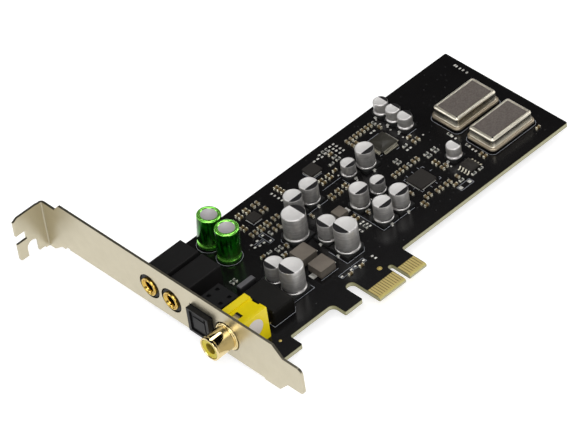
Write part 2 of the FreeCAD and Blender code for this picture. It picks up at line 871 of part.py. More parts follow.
def jack(number, axis_y):
    """One jack: housing, gold collar and stamped contacts. Returns where its legs are soldered."""
    middle = s.jack_axis_height
    back = s.jack_front + s.jack_length
    body = new_body(f"Jack{number}")
    low, high = around(axis_y, s.jack_width)
    outline = [(low, 0), (high, 0), (high, s.jack_height), (low, s.jack_height)]
    pad(body, sketch(body, "YZ_Plane", [outline], s.jack_front), s.jack_length)
    neck = [Round(axis_y, middle, s.jack_neck_radius)]
    length = s.jack_front - s.jack_neck_front
    pad(body, sketch(body, "YZ_Plane", neck, s.jack_neck_front), length)
    cavity = [Round(axis_y, middle, s.collar_sleeve_radius)]
    profile = sketch(body, "YZ_Plane", cavity, s.jack_neck_front)
    pocket(body, profile, s.jack_cavity_depth, reverse=True)
    upper = [(low, s.jack_height), (high, s.jack_height)]
    round_corners(body, upper, s.jack_edge_round, axis="x")

    blades = []
    legs = []
    for side in (-1, 1):
        inner = axis_y + side * s.blade_offset
        outer = axis_y + side * (s.blade_offset + s.blade_thickness)
        y = (inner, outer) if side > 0 else (outer, inner)
        for count, start in enumerate((s.first_blade_x, s.second_blade_x), 1):
            name = f"Jack{number}Side{side + 1}Contact{count}"
            blade = block(f"{name}Blade", (start, start + s.blade_length), y,
                          around(middle, s.blade_height))
            leg = block(f"{name}Leg", (start, start + s.leg_width), y, (0, middle))
            blades.append(fuse(name, [blade, leg]))
            legs.append((start + s.leg_width / 2, (inner + outer) / 2))
    node(f"jack_{number}_housing", cut(f"Jack{number}Housing", body, blades))
    node(f"jack_{number}_contacts", group(f"Jack{number}Contacts", blades))

    collar = new_body(f"Collar{number}")
    neck_front = s.jack_neck_front
    profile = [
        (s.collar_front, s.collar_bore_radius + s.collar_mouth),
        (s.collar_front, s.collar_radius), (neck_front, s.collar_radius),
        (neck_front, s.collar_sleeve_radius),
        (neck_front + s.collar_sleeve_length, s.collar_sleeve_radius),
        (neck_front + s.collar_sleeve_length, s.collar_bore_radius),
        (s.collar_front + s.collar_mouth, s.collar_bore_radius),
    ]
    turned(collar, sketch(collar, "XY_Plane", [profile]), "H_Axis")
    node(f"jack_{number}_collar", place(collar, 0, axis_y, middle))
    return legs


# Optical output

def hinge_height():
    """Z of the shutter's hinge, under the roof of the socket."""
    return s.optical_front_height - s.socket_roof - s.hinge_drop


def optical_housing():
    """The black housing: a square socket in front, a bay for the emitter behind."""
    body = new_body("Optical")
    low, high = around(s.optical_y, s.optical_front_width)
    nose = [(low, 0), (high, 0), (high, s.optical_front_height), (low, s.optical_front_height)]
    pad(body, sketch(body, "YZ_Plane", [nose], s.optical_front), s.optical_front_depth)
    start = s.optical_front + s.optical_front_depth
    low, high = around(s.optical_y, s.optical_width)
    rest = [(low, 0), (high, 0), (high, s.optical_height), (low, s.optical_height)]
    pad(body, sketch(body, "YZ_Plane", [rest], start), s.optical_back - start)
    low, high = around(s.optical_y, s.socket_width)
    roof = s.optical_front_height - s.socket_roof
    socket = [(low, s.socket_lower), (high, s.socket_lower), (high, roof), (low, roof)]
    depth = s.socket_back - s.optical_front
    pocket(body, sketch(body, "YZ_Plane", [socket], s.optical_front), depth, reverse=True)
    low, high = around(s.optical_y, s.emitter_width + 2 * s.emitter_gap)
    top = s.emitter_height + s.emitter_gap
    bay = [(low, 0), (high, 0), (high, top), (low, top)]
    bay_front = s.emitter_front - s.emitter_gap
    depth = s.optical_back - bay_front
    pocket(body, sketch(body, "YZ_Plane", [bay], bay_front), depth, reverse=True)
    centre = s.emitter_height / 2 + s.socket_lower / 2
    window = [Round(s.optical_y, centre, s.lens_radius + s.emitter_gap)]
    depth = bay_front - s.socket_back
    pocket(body, sketch(body, "YZ_Plane", window, bay_front), depth)
    latches = []
    for x in (s.latch_front_x, s.latch_back_x):
        for side in (-1, 1):
            x_low, x_high = around(x, s.latch_size)
            y_low, y_high = around(s.optical_y + side * s.latch_spread / 2, s.latch_size)
            latches.append([(x_low, y_low), (x_high, y_low), (x_high, y_high), (x_low, y_high)])
    pocket(body, sketch(body, "XY_Plane", latches, s.optical_height), s.latch_depth)
    hinge = [Round(s.hinge_x, hinge_height(), s.hinge_hole_radius)]
    reach = s.socket_width / 2 + s.hinge_pin_length + s.shutter_gap
    far_side = -(s.optical_y + reach)
    pocket(body, sketch(body, "XZ_Plane", hinge, far_side), 2 * reach, reverse=True)
    node("optical_housing", body)


def optical_shutter():
    """The flap that closes the socket, with a raised panel in front and its two hinge pins."""
    body = new_body("Shutter")
    half = s.socket_width / 2 - s.shutter_gap
    low, high = s.optical_y - half, s.optical_y + half
    top = hinge_height()
    notch_y = low + s.spring_notch_width
    notch_z = top - s.spring_notch_height
    flap = [
        (low, s.shutter_lower), (high, s.shutter_lower), (high, top),
        (notch_y, top), (notch_y, notch_z), (low, notch_z),
    ]
    pad(body, sketch(body, "YZ_Plane", [flap], s.shutter_front), s.shutter_thickness)
    margin = s.panel_margin
    panel = [
        (low + margin, s.shutter_lower + margin), (high - margin, s.shutter_lower + margin),
        (high - margin, notch_z - s.panel_raise), (low + margin, notch_z - s.panel_raise),
    ]
    raised = sketch(body, "YZ_Plane", [panel], s.shutter_front - s.panel_raise)
    pad(body, raised, s.panel_raise)
    barrel = [Round(s.hinge_x, top, s.hinge_radius)]
    pad(body, sketch(body, "XZ_Plane", barrel, -notch_y), high - notch_y, reverse=True)
    pin = [Round(s.hinge_x, top, s.hinge_pin_radius)]
    reach = s.hinge_pin_length + s.shutter_gap
    profile = sketch(body, "XZ_Plane", pin, reach - low)
    pad(body, profile, high - low + 2 * reach, reverse=True)
    node("optical_shutter", body)


def shutter_spring():
    """The small spring that holds the flap shut: flat wire coiled round the hinge pin."""
    pitch, turns = SIZES["spring_pitch"], SIZES["spring_turns"]
    radius, wire = SIZES["spring_coil_radius"], SIZES["spring_wire"]
    coil = Part.makeHelix(pitch, pitch * turns, radius)
    start = Vector(radius, 0, 0)
    end = Vector(radius, 0, pitch * turns)
    along = Vector(0, radius, pitch / (2 * math.pi))
    along.normalize()
    leg = along * SIZES["spring_leg"]
    path = Part.Wire([
        Part.LineSegment(start - leg, start).toShape(), *coil.Edges,
        Part.LineSegment(end, end + leg).toShape(),
    ])
    outward = Vector(1, 0, 0) * (wire / 2)
    across = along.cross(outward)
    square = [outward + across, across - outward, -outward - across, outward - across]
    corners = [start - leg + corner for corner in square]
    section = Part.makePolygon(corners + corners[:1])
    spring = doc.addObject("Part::Feature", "ShutterSpring")
    spring.Shape = path.makePipeShell([section], True, True)
    low = SIZES["optical_y"] - SIZES["socket_width"] / 2 + SIZES["shutter_gap"]
    room = (SIZES["spring_notch_width"] - pitch * turns) / 2
    middle = Vector(SIZES["hinge_x"], low + room + pitch * turns, hinge_height().value)
    spring.Placement = Placement(middle, Rotation(Vector(1, 0, 0), 90))
    node("shutter_spring", spring)


def emitter_module():
    """The light source in its moulding, with a lens tube in front and three legs behind."""
    x = (s.emitter_front, s.emitter_back)
    centre = s.emitter_height / 2 + s.socket_lower / 2
    case = block("EmitterCase", x, around(s.optical_y, s.emitter_width),
                 (s.emitter_lift, s.emitter_height))
    front = s.emitter_front - s.lens_reach
    lens = rod("EmitterLens", "x", (front, s.emitter_front), s.optical_y, centre, s.lens_radius)
    legs = []
    spots = []
    for step in (-1, 0, 1):
        y = s.optical_y + step * s.pin_pitch
        leg_x = (s.emitter_back, s.emitter_back + s.pin_side)
        legs.append(block(f"EmitterLeg{step + 2}", leg_x, around(y, s.pin_side),
                          (0, s.emitter_leg_height)))
        spots.append((s.emitter_back + s.pin_side / 2, y))
    node("emitter_module", fuse("EmitterModule", [case, lens] + legs))
    return spots


# Coaxial output

def coax_housing():
    """The yellow housing, with a stepped top, a window over the shell and a groove behind."""
    low, high = s.coax_housing_low_y, s.coax_housing_high_y
    top = s.coax_housing_height
    body = new_body("Coax")
    start = s.sheet_thickness
    outline = [
        (low, 0), (high, 0), (high, top), (s.coax_step_y, top),
        (s.coax_step_y, top - s.coax_step_depth), (s.coax_slope_end_y, top), (low, top),
    ]
    length = s.coax_housing_back - start
    pad(body, sketch(body, "YZ_Plane", [outline], start), length)
    bore = [Round(s.coax_y, s.coax_axis_height, s.coax_radius)]
    depth = s.coax_bore_depth - start
    pocket(body, sketch(body, "YZ_Plane", bore, start), depth, reverse=True)
    window = [
        (s.coax_window_front, s.coax_window_low_y), (s.coax_bore_depth, s.coax_window_low_y),
        (s.coax_bore_depth, s.coax_window_high_y), (s.coax_window_front, s.coax_window_high_y),
    ]
    pocket(body, sketch(body, "XY_Plane", [window], top), top - s.coax_axis_height)
    back = s.coax_housing_back
    groove = [
        (back - s.coax_groove_depth, s.coax_groove_low_y), (back, s.coax_groove_low_y),
        (back, s.coax_groove_high_y), (back - s.coax_groove_depth, s.coax_groove_high_y),
    ]
    pocket(body, sketch(body, "XY_Plane", [groove], top), top)
    y_low, y_high = around(s.coax_y, s.tail_width)
    z_low, z_high = around(s.coax_axis_height, s.tail_thickness)
    slit = [(y_low, z_low), (y_high, z_low), (y_high, z_high), (y_low, z_high)]
    depth = back - s.coax_groove_depth - s.coax_bore_depth
    pocket(body, sketch(body, "YZ_Plane", [slit], s.coax_bore_depth), depth, reverse=True)
    node("coax_housing", body)


def coax_barrel():
    """The gold shell, with a rounded rim and the flange that seats in the bracket's hole."""
    barrel = new_body("Barrel")
    tip, rim = s.coax_tip, s.coax_rim
    profile = [
        (tip, s.coax_inner_radius), (tip, s.coax_radius - rim), (tip + rim, s.coax_radius),
        (s.coax_flange_front, s.coax_radius), (s.coax_flange_front, s.coax_flange_radius),
        (s.sheet_thickness, s.coax_flange_radius), (s.sheet_thickness, s.coax_radius),
        (s.coax_back, s.coax_radius), (s.coax_back, s.coax_inner_radius),
    ]
    turned(barrel, sketch(barrel, "XY_Plane", [profile]), "H_Axis")
    node("coax_barrel", place(barrel, 0, s.coax_y, s.coax_axis_height))


def coax_insulator():
    """The plastic ring that centres the middle contact, with a funnel for the plug."""
    ring = new_body("Insulator")
    throat = s.insulator_front + s.funnel_depth
    profile = [
        (s.insulator_front, s.funnel_radius), (s.insulator_front, s.coax_inner_radius),
        (s.coax_back, s.coax_inner_radius), (s.coax_back, s.centre_radius),
        (s.centre_front, s.centre_radius), (s.centre_front, s.centre_throat_radius),
        (throat, s.centre_throat_radius),
    ]
    turned(ring, sketch(ring, "XY_Plane", [profile]), "H_Axis")
    node("coax_insulator", place(ring, 0, s.coax_y, s.coax_axis_height))


def coax_centre_contact():
    """The middle contact: a tube for the plug's pin, and a tail through the back to the board."""
    x = (s.centre_front, s.coax_back)
    y, z = s.coax_y, s.coax_axis_height
    tube = rod("CentreTube", "x", x, y, z, s.centre_radius)
    bore_end = s.coax_back - s.tail_width
    hollow = rod("CentreBore", "x", (s.centre_front, bore_end), y, z, s.centre_bore_radius)
    tail_back = s.coax_housing_back - s.coax_groove_depth + s.tail_thickness
    tail = block("CentreTail", (s.coax_back, tail_back), around(y, s.tail_width),
                 around(z, s.tail_thickness))
    foot_x = (tail_back - s.tail_thickness, tail_back)
    foot = block("CentreFoot", foot_x, around(y, s.tail_width), (0, z))
    pieces = cut("Centre", tube, [hollow])
    node("coax_centre_contact", fuse("CentreContact", [pieces, tail, foot]))
    return [((foot_x[0] + foot_x[1]) / 2, y)]


def coax_sticker():
    """The bare round sticker on the side of the housing."""
    side = s.coax_housing_low_y
    y = (side - s.sticker_thickness, side)
    node("coax_sticker", rod("Sticker", "y", s.sticker_x, y, s.sticker_height, s.sticker_radius))


# Radial capacitors

def radial_capacitor(number, x, y, lean_x, lean_y):
    """One capacitor in its sleeve, leaning as it was soldered. Returns where its leads go."""
    wall = s.sleeve_wall
    top = s.sleeve_height
    inner = s.sleeve_radius - wall
    sleeve = new_body(f"Sleeve{number}")
    bevel = s.sleeve_round + wall * MITRE
    shoulder = [(inner, top - bevel), (s.sleeve_radius - bevel, top - wall)]
    profile = [
        (s.sleeve_fold_radius, 0), (s.sleeve_radius, 0), (s.sleeve_radius, top - s.sleeve_round),
        (s.sleeve_radius - s.sleeve_round, top), (s.sleeve_mouth_radius, top),
        (s.sleeve_mouth_radius, top - wall), shoulder[1], shoulder[0], (inner, wall),
        (s.sleeve_fold_radius, wall),
    ]
    turned(sleeve, sketch(sleeve, "XZ_Plane", [profile]), "V_Axis")
    can = new_body(f"RadialCan{number}")
    profile = [
        (s.bung_radius, wall), (inner, wall), *shoulder, (0, top - wall),
        (0, wall + s.bung_depth), (s.bung_radius, wall + s.bung_depth),
    ]
    turned(can, sketch(can, "XZ_Plane", [profile]), "V_Axis")
    bung = new_body(f"Bung{number}")
    disc = [Round(0, 0, s.bung_radius)]
    pad(bung, sketch(bung, "XY_Plane", disc, wall), s.bung_depth)

    upright = Vector(0, 0, 1)
    axis = Vector(lean_x, lean_y, SIZES["sleeve_height"])
    turn = Rotation(upright, axis)
    tilt = axis.getAngle(upright)
    lift = SIZES["sleeve_radius"] * math.sin(tilt)
    stand = Placement(Vector(x, y, lift), turn)
    leads = []
    spots = []
    for side in (-1, 1):
        offset = Vector(0, side * SIZES["lead_pitch"] / 2, 0)
        foot = stand.multVec(offset)
        drop = foot.z / math.cos(tilt) - SIZES["lead_gap"]
        lead = doc.addObject("Part::Prism", f"Lead{number}Side{side + 1}")
        lead.Polygon = SIDES
        bind(lead, "Circumradius", s.lead_radius)
        bind(lead, "Height", wall + drop)
        lead.Placement = stand.multiply(Placement(offset - upright * drop, Rotation()))
        leads.append(lead)
        spots.append((foot.x, foot.y))
    for piece in (sleeve, can, bung):
        piece.Placement = stand
    node(f"radial_sleeve_{number}", sleeve)
    node(f"radial_can_{number}", can)
    node(f"radial_bung_{number}", bung)
    return leads, spots


# Surface capacitors

def surface_capacitors(size, radius, height, side, places):
    """All the cans of one size and their black bases. Returns their tin terminals."""
    can = new_body(f"{size}Can")
    foot = s.base_height
    flared = radius + s.skirt_flare
    profile = [
        (0, foot), (flared, foot), (flared, foot + s.skirt_height),
        (radius - s.groove_depth, foot + s.groove_start), (radius, foot + s.groove_end),
        (radius, height - s.can_rim), (radius - s.can_rim, height), (0, height),
    ]
    turned(can, sketch(can, "XZ_Plane", [profile]), "V_Axis")
    base = new_body(f"{size}Base")
    half = side / 2
    corner = half - side * s.base_chamfer_share
    plate = [
        (half, -half), (half, half), (-corner, half), (-half, corner),
        (-half, -corner), (-corner, -half),
    ]
    pad(base, sketch(base, "XY_Plane", [plate]), s.base_height)
    ends = []
    for end in (-1, 1):
        reach = (half, half + s.terminal_reach)
        x = reach if end > 0 else (-reach[1], -reach[0])
        ends.append(block(f"{size}Terminal{end + 1}", x, around(as_size(0), s.terminal_width),
                          (0, s.terminal_thickness)))
    pair = group(f"{size}Terminals", ends)
    label = size.lower()
    node(f"{label}_cans", group(f"{size}Cans", copies(f"{size}Can", can, places)))
    node(f"{label}_can_bases", group(f"{size}Bases", copies(f"{size}Base", base, places)))
    return copies(f"{size}Pair", pair, places)


# Oscillator modules

def oscillator(number, y):
    """One oscillator module: a header plate and its lid. Returns pins, beads and their spots."""
    x = s.oscillator_x
    header = new_body(f"Header{number}")
    x_low, x_high = around(x, s.header_length)
    y_low, y_high = around(y, s.header_width)
    corners = [(x_low, y_low), (x_high, y_low), (x_high, y_high), (x_low, y_high)]
    pad(header, sketch(header, "XY_Plane", [corners], s.header_lift), s.header_thickness)
    round_corners(header, corners, s.header_radius)
    node(f"oscillator_{number}_header", header)

    lid = new_body(f"Lid{number}")
    start = s.header_lift + s.header_thickness
    pad(lid, sketch(lid, "XY_Plane", [corners], start), s.lid_flange)
    round_corners(lid, corners, s.header_radius)
    x_low, x_high = x_low + s.lid_end_step, x_high - s.lid_end_step
    y_low, y_high = y_low + s.lid_side_step, y_high - s.lid_side_step
    inner = [(x_low, y_low), (x_high, y_low), (x_high, y_high), (x_low, y_high)]
    top = start + s.lid_flange
    pad(lid, sketch(lid, "XY_Plane", [inner], top), s.lid_top - top)
    round_corners(lid, inner, s.lid_radius)
    dress(lid, "Fillet", faces_at(lid.Tip.Shape, "z", s.lid_top), s.lid_round)
    node(f"oscillator_{number}_lid", lid)

    pins = []
    beads = []
    spots = []
    for end in (-1, 1):
        for side in (-1, 1):
            pin_x = x + end * s.oscillator_pin_length / 2
            pin_y = y + side * s.oscillator_pin_width / 2
            name = f"Oscillator{number}End{end + 1}Side{side + 1}"
            z = (0, s.header_lift)
            pin = prism(f"{name}Pin", pin_x, pin_y, z, s.oscillator_pin_radius)
            bead = prism(f"{name}Bead", pin_x, pin_y, z, s.bead_radius)
            hollow = prism(f"{name}Hollow", pin_x, pin_y, z, s.oscillator_pin_radius)
            pins.append(pin)
            beads.append(cut(f"{name}Bead", bead, [hollow]))
            spots.append((pin_x, pin_y))
    return pins, beads, spots


# Relay, film capacitor and inductors

def relay():
    """The black relay case. Returns where its legs are soldered."""
    body = new_body("Relay")
    x_low, x_high = around(s.relay_x, s.relay_width)
    y_low, y_high = around(s.relay_y, s.relay_length)
    corners = [(x_low, y_low), (x_high, y_low), (x_high, y_high), (x_low, y_high)]
    pad(body, sketch(body, "XY_Plane", [corners]), s.relay_height)
    dress(body, "Chamfer", edges_at(body.Tip.Shape, "z", corners), s.relay_bevel)
    dress(body, "Chamfer", faces_at(body.Tip.Shape, "z", s.relay_height), s.relay_bevel)
    node("relay_case", body)
    spots = []
    for row in (-1, 1):
        for step in (-2, -1, 1, 2):
            x = s.relay_x + row * s.relay_pin_row / 2
            spots.append((x, s.relay_y + step * s.relay_pin_step))
    return spots


def film_capacitor():
    """The small film capacitor beside the relay. Returns where its leads are soldered."""
    body = new_body("Film")
    x_low, x_high = around(s.film_x, s.film_length)
    y_low, y_high = around(s.film_y, s.film_width)
    corners = [(x_low, y_low), (x_high, y_low), (x_high, y_high), (x_low, y_high)]
    pad(body, sketch(body, "XY_Plane", [corners]), s.film_height)
    dress(body, "Chamfer", edges_at(body.Tip.Shape, "z", corners), s.film_bevel)
    dress(body, "Chamfer", faces_at(body.Tip.Shape, "z", s.film_height), s.film_bevel)
    node("film_capacitor", body)
    half = s.film_pin_pitch / 2
    return [(s.film_x - half, s.film_y), (s.film_x + half, s.film_y)]


def choke(name, x, y, length, width, height):
    """One moulded inductor, its four upright corners cut back. Returns its two terminals."""
    body = new_body(name)
    x_low, x_high = around(x, length)
    y_low, y_high = around(y, width)
    corners = [(x_low, y_low), (x_high, y_low), (x_high, y_high), (x_low, y_high)]
    pad(body, sketch(body, "XY_Plane", [corners]), height)
    dress(body, "Chamfer", edges_at(body.Tip.Shape, "z", corners), s.choke_chamfer)
    ends = []
    for end, edge in ((-1, x_low), (1, x_high)):
        outer = edge + end * s.choke_terminal_reach
        span = (edge, outer) if end > 0 else (outer, edge)
        ends.append(block(f"{name}Terminal{end + 1}", span, around(y, s.choke_terminal_width),
                          (0, s.choke_terminal_thickness)))
    return body, ends


def chokes():
    """The three inductors and their terminals."""
    terminals = []
    large = [("Choke1", s.choke_1_y), ("Choke2", s.choke_2_y)]
    for number, (name, y) in enumerate(large, 1):
        body, ends = choke(name, s.choke_x, y, s.choke_length, s.choke_width, s.choke_height)
        node(f"inductor_{number}", body)
        terminals += ends
    side = s.small_choke_side
    body, ends = choke("Choke3", s.small_choke_x, s.small_choke_y, side, side,
                       s.small_choke_height)
    node("inductor_3", body)
    node("inductor_terminals", group("ChokeTerminals", terminals + ends))


# Chips

def gull_lead(name, width):
    """One bent lead that starts at its chip's side, foot on the board."""
    body = new_body(name)
    profile = [
        (0, s.lead_shoulder - s.lead_thickness), (s.lead_bend_start, 0), (s.lead_reach, 0),
        (s.lead_reach, s.lead_thickness), (s.lead_bend_end, s.lead_thickness),
        (s.lead_bend_start, s.lead_shoulder), (0, s.lead_shoulder),
    ]
    pad(body, sketch(body, "XZ_Plane", [profile], -width / 2), width)
    return body


def many_lead_chip():
    """The square chip with leads on all four sides."""
    x, y, half = s.many_lead_x, s.many_lead_y, s.many_lead_side / 2
    z = (s.chip_lift, s.many_lead_height)
    case = block("ManyLeadCase", around(x, 2 * half), around(y, 2 * half), z)
    lead = gull_lead("FineLead", s.fine_lead_width)
    count = s.many_lead_count
    places = []
    for number in range(int(count.value)):
        along = (number - (count - 1) / 2) * s.many_lead_pitch
        places += [
            (x + half, y + along, 0), (x - along, y + half, 90),
            (x - half, y - along, 180), (x + along, y - half, 270),
        ]
    node("square_chip", case)
    node("square_chip_leads", group("FineLeads", copies("FineLead", lead, places)))


def eight_lead_chip():
    """The small chip with four leads on each long side."""
    x, y = s.eight_lead_x, s.eight_lead_y
    half = s.eight_lead_width / 2
    z = (s.chip_lift, s.eight_lead_height)
    case = block("EightLeadCase", around(x, 2 * half), around(y, s.eight_lead_length), z)
    lead = gull_lead("WideLead", s.wide_lead_width)
    places = []
    for number in (-1.5, -0.5, 0.5, 1.5):
        along = number * s.eight_lead_pitch
        places += [(x + half, y + along, 0), (x - half, y - along, 180)]
    node("eight_lead_chip", case)
    node("eight_lead_chip_leads", group("WideLeads", copies("WideLead", lead, places)))


def flat_chips():
    """The three chips with no leads."""
    for label in ("large_flat", "small_flat", "upper_flat"):
        side = getattr(s, f"{label}_side")
        x = around(getattr(s, f"{label}_x"), side)
        y = around(getattr(s, f"{label}_y"), side)
        chip = block(f"{label}Chip", x, y, (0, getattr(s, f"{label}_height")))
        node(f"{label}_chip", chip)


def chip_parts(label, height, along_x, along_y):
    """A field of tiny capacitors or resistors, as blocks on the board."""
    parts = []
    for centres, size in ((along_x, (s.chip_length, s.chip_width)),
                          (along_y, (s.chip_width, s.chip_length))):
        for x, y in centres:
            name = f"{label}{len(parts) + 1}"
            spans = (around(as_size(x), size[0]), around(as_size(y), size[1]))
            parts.append(block(name, *spans, (0, height)))
    node(label, group(f"{label}Group", parts))


# Solder joints

def solder_cone():
    """One joint under the board: a cone with eight sides."""
    under = -s.board_thickness
    sections = []
    for z, radius in ((under - s.joint_height, s.joint_tip_radius), (under, s.joint_radius)):
        ring = doc.addObject("Part::RegularPolygon", "JointRing")
        ring.Polygon = SIDES
        bind(ring, "Circumradius", radius)
        sections.append(place(ring, 0, 0, z))
    cone = doc.addObject("Part::Loft", "Joint")
    cone.Sections = sections
    cone.Solid = True
    cone.Ruled = True
    return cone


def solder_joints(label, cone, spots):
    """The same solder joint at each spot."""
    joints = copies(f"{label}Joint", cone, [(x, y, 0) for x, y in spots])
    node(label, group(f"{label}Group", joints))


# The whole card

def build():
    """Makes every piece of the card in turn."""
    circuit_board()
    edge_contacts()
    bracket()
    bracket_screws()
    spots = []
    for number, axis_y in enumerate((s.jack_1_y, s.jack_2_y), 1):
        spots += jack(number, axis_y)
    optical_housing()
    optical_shutter()
    shutter_spring()
    spots += emitter_module()
    coax_housing()
    coax_barrel()
    coax_insulator()
    spots += coax_centre_contact()
    coax_sticker()
    leads = []
    for number, (x, y, lean_x, lean_y) in enumerate(RADIAL_CAPS, 1):
        wires, feet = radial_capacitor(number, x, y, lean_x, lean_y)
        leads += wires
        spots += feet
    node("radial_leads", group("RadialLeads", leads))
    terminals = []
    families = [
        ("Large", s.large_can_radius, s.large_can_height, s.large_base_side, LARGE_CANS),
        ("Medium", s.medium_can_radius, s.medium_can_height, s.medium_base_side, MEDIUM_CANS),
        ("Small", s.small_can_radius, s.small_can_height, s.small_base_side, SMALL_CANS),
    ]
    for family in families:
        terminals += surface_capacitors(*family)
    node("can_terminals", group("CanTerminals", terminals))
    pins = []
    beads = []
    far_spots = []
    for number, y in enumerate((s.oscillator_1_y, s.oscillator_2_y), 1):
        more_pins, more_beads, more_spots = oscillator(number, y)
        pins += more_pins
        beads += more_beads
        far_spots += more_spots
    node("oscillator_pins", group("OscillatorPins", pins))
    node("oscillator_beads", group("OscillatorBeads", beads))
    spots += relay()
    spots += film_capacitor()
    chokes()
    many_lead_chip()
    eight_lead_chip()
    flat_chips()
    chip_parts("chip_capacitors", s.chip_capacitor_height, CAPACITORS_ALONG_X, CAPACITORS_ALONG_Y)
    chip_parts("chip_resistors", s.chip_resistor_height, RESISTORS_ALONG_X, RESISTORS_ALONG_Y)
    cone = solder_cone()
    solder_joints("solder_joints", cone, spots)
    solder_joints("oscillator_solder", cone, far_spots)


def check():
    """Stops if any object failed or any piece has no sound solid."""
    doc.recompute()
    for thing in doc.Objects:
        if "Invalid" in thing.State or "Error" in thing.State:
            raise RuntimeError(f"{thing.Name} failed: {thing.State}")
    for piece in nodes:
        shape = Part.getShape(piece)
        if shape.isNull() or not shape.isValid() or not shape.Solids:
            raise RuntimeError(f"{piece.Label} has no sound solid")


def export():
    """Writes each piece to a file of its own."""
    os.makedirs("parts", exist_ok=True)
    for piece in nodes:
        Part.getShape(piece).exportStep(f"parts/{piece.Label}.step")
    print(len(nodes), "pieces written")


fill_sheet()
build()
check()
export()
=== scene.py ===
"""Dresses the sound card: a finish on every piece, the fine detail as meshes, the light and the camera.

Lengths in this file are millimetres, in the frame of the model, until a mesh is made of them.
"""

import logging
import math
from dataclasses import dataclass, field, replace
from enum import Enum
from typing import Any, Callable, ClassVar, Sequence

import bpy
import numpy as np
from mathutils import Matrix, Vector


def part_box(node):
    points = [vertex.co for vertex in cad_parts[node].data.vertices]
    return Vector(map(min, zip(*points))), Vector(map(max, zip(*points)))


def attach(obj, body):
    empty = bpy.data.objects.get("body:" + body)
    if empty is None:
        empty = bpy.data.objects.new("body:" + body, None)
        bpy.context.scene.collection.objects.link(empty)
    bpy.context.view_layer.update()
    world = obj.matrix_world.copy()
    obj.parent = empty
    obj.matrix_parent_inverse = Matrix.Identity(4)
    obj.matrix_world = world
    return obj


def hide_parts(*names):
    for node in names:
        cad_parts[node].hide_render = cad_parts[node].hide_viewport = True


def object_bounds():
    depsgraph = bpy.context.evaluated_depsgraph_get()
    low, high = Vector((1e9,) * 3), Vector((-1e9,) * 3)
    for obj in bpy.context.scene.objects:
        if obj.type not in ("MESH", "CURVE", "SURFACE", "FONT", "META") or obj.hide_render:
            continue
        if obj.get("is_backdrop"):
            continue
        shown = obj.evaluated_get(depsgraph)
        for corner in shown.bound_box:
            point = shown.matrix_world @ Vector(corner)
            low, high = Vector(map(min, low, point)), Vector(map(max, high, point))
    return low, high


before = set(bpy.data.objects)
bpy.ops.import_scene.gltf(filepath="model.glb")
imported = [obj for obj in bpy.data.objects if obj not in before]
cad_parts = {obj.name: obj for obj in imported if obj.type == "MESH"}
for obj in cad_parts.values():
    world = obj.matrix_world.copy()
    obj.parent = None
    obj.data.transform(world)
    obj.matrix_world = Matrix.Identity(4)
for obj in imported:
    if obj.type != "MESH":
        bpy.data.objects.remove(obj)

MM = 0.001
CARD = "card"
WELD_DIGITS = 3
TURN = 2 * math.pi
log = logging.getLogger("sound_card")

Triple = tuple[float, float, float]
Colour = Triple
Point = tuple[float, float]
Points = tuple[Point, ...]
Profile = Sequence[Point]
Span = tuple[float, float]
Outline = Callable[[float], np.ndarray]

TO_MINUS_X = np.array([[0, 0, -1], [0, 1, 0], [1, 0, 0]])
UPSIDE_DOWN = np.array([[1, 0, 0], [0, -1, 0], [0, 0, -1]])
UPRIGHT = np.array([[1, 0, 0], [0, 0, -1], [0, 1, 0]])


# Shapes worked out with numpy

@dataclass
class Skin:
    """Points and faces of a surface, in millimetres.

    Attributes:
        points: one row of x, y, z for each point.
        faces: tuples of point numbers, anticlockwise from outside.
        shades: which material of its piece each face takes.
        marks: u and v of each point, for patterns that follow the surface.
    """

    points: np.ndarray
    faces: list[tuple[int, ...]]
    shades: list[int] = field(default_factory=list)
    marks: np.ndarray | None = None

    def __post_init__(self) -> None:
        """Takes the first material, and each point's own x and y as marks, where none are given."""
        self.points = np.asarray(self.points, float).reshape(-1, 3)
        self.shades = self.shades or [0] * len(self.faces)
        if self.marks is None:
            self.marks = self.points[:, :2].copy()

    def moved(self, x: float = 0.0, y: float = 0.0, z: float = 0.0) -> "Skin":
        """The same surface shifted."""
        return replace(self, points=self.points + (x, y, z))

    def turned(self, matrix: np.ndarray) -> "Skin":
        """The same surface with every point multiplied by a 3 by 3 turn."""
        return replace(self, points=self.points @ np.asarray(matrix, float).T)

    def shaded(self, shade: int) -> "Skin":
        """The same surface in another material of its piece."""
        return replace(self, shades=[shade] * len(self.faces))

    def split(self, chosen: Callable[[np.ndarray], bool], shade: int = 1) -> "Skin":
        """The same surface, with the faces whose middle is chosen in another material."""
        return replace(self, shades=[shade if chosen(self.points[list(face)].mean(0)) else old
                                     for face, old in zip(self.faces, self.shades)])

    def bored(self, radius: float, depth: float) -> "Skin":
        """A turned piece, with its faces within a radius and below a height in the next material."""
        return self.split(lambda middle: middle[2] < depth and np.hypot(*middle[:2]) < radius)


def joined(skins: Sequence[Skin]) -> Skin:
    """Several surfaces as one.

    Args:
        skins: the surfaces.

    Returns:
        All their points and faces, each face with the numbers of its own points.
    """
    starts = np.cumsum([0] + [len(skin.points) for skin in skins])
    faces = [tuple(int(p + start) for p in face)
             for skin, start in zip(skins, starts) for face in skin.faces]
    return Skin(np.concatenate([skin.points for skin in skins]), faces,
                [shade for skin in skins for shade in skin.shades],
                np.concatenate([skin.marks for skin in skins]))


def about_z(degrees: float) -> np.ndarray:
    """The turn about Z by an angle."""
    c, s = math.cos(math.radians(degrees)), math.sin(math.radians(degrees))
    return np.array([[c, -s, 0], [s, c, 0], [0, 0, 1]])


def tilted(axis: np.ndarray) -> np.ndarray:
    """The shortest turn that takes Z to an axis."""
    return np.array(Vector((0, 0, 1)).rotation_difference(Vector(axis)).to_matrix())


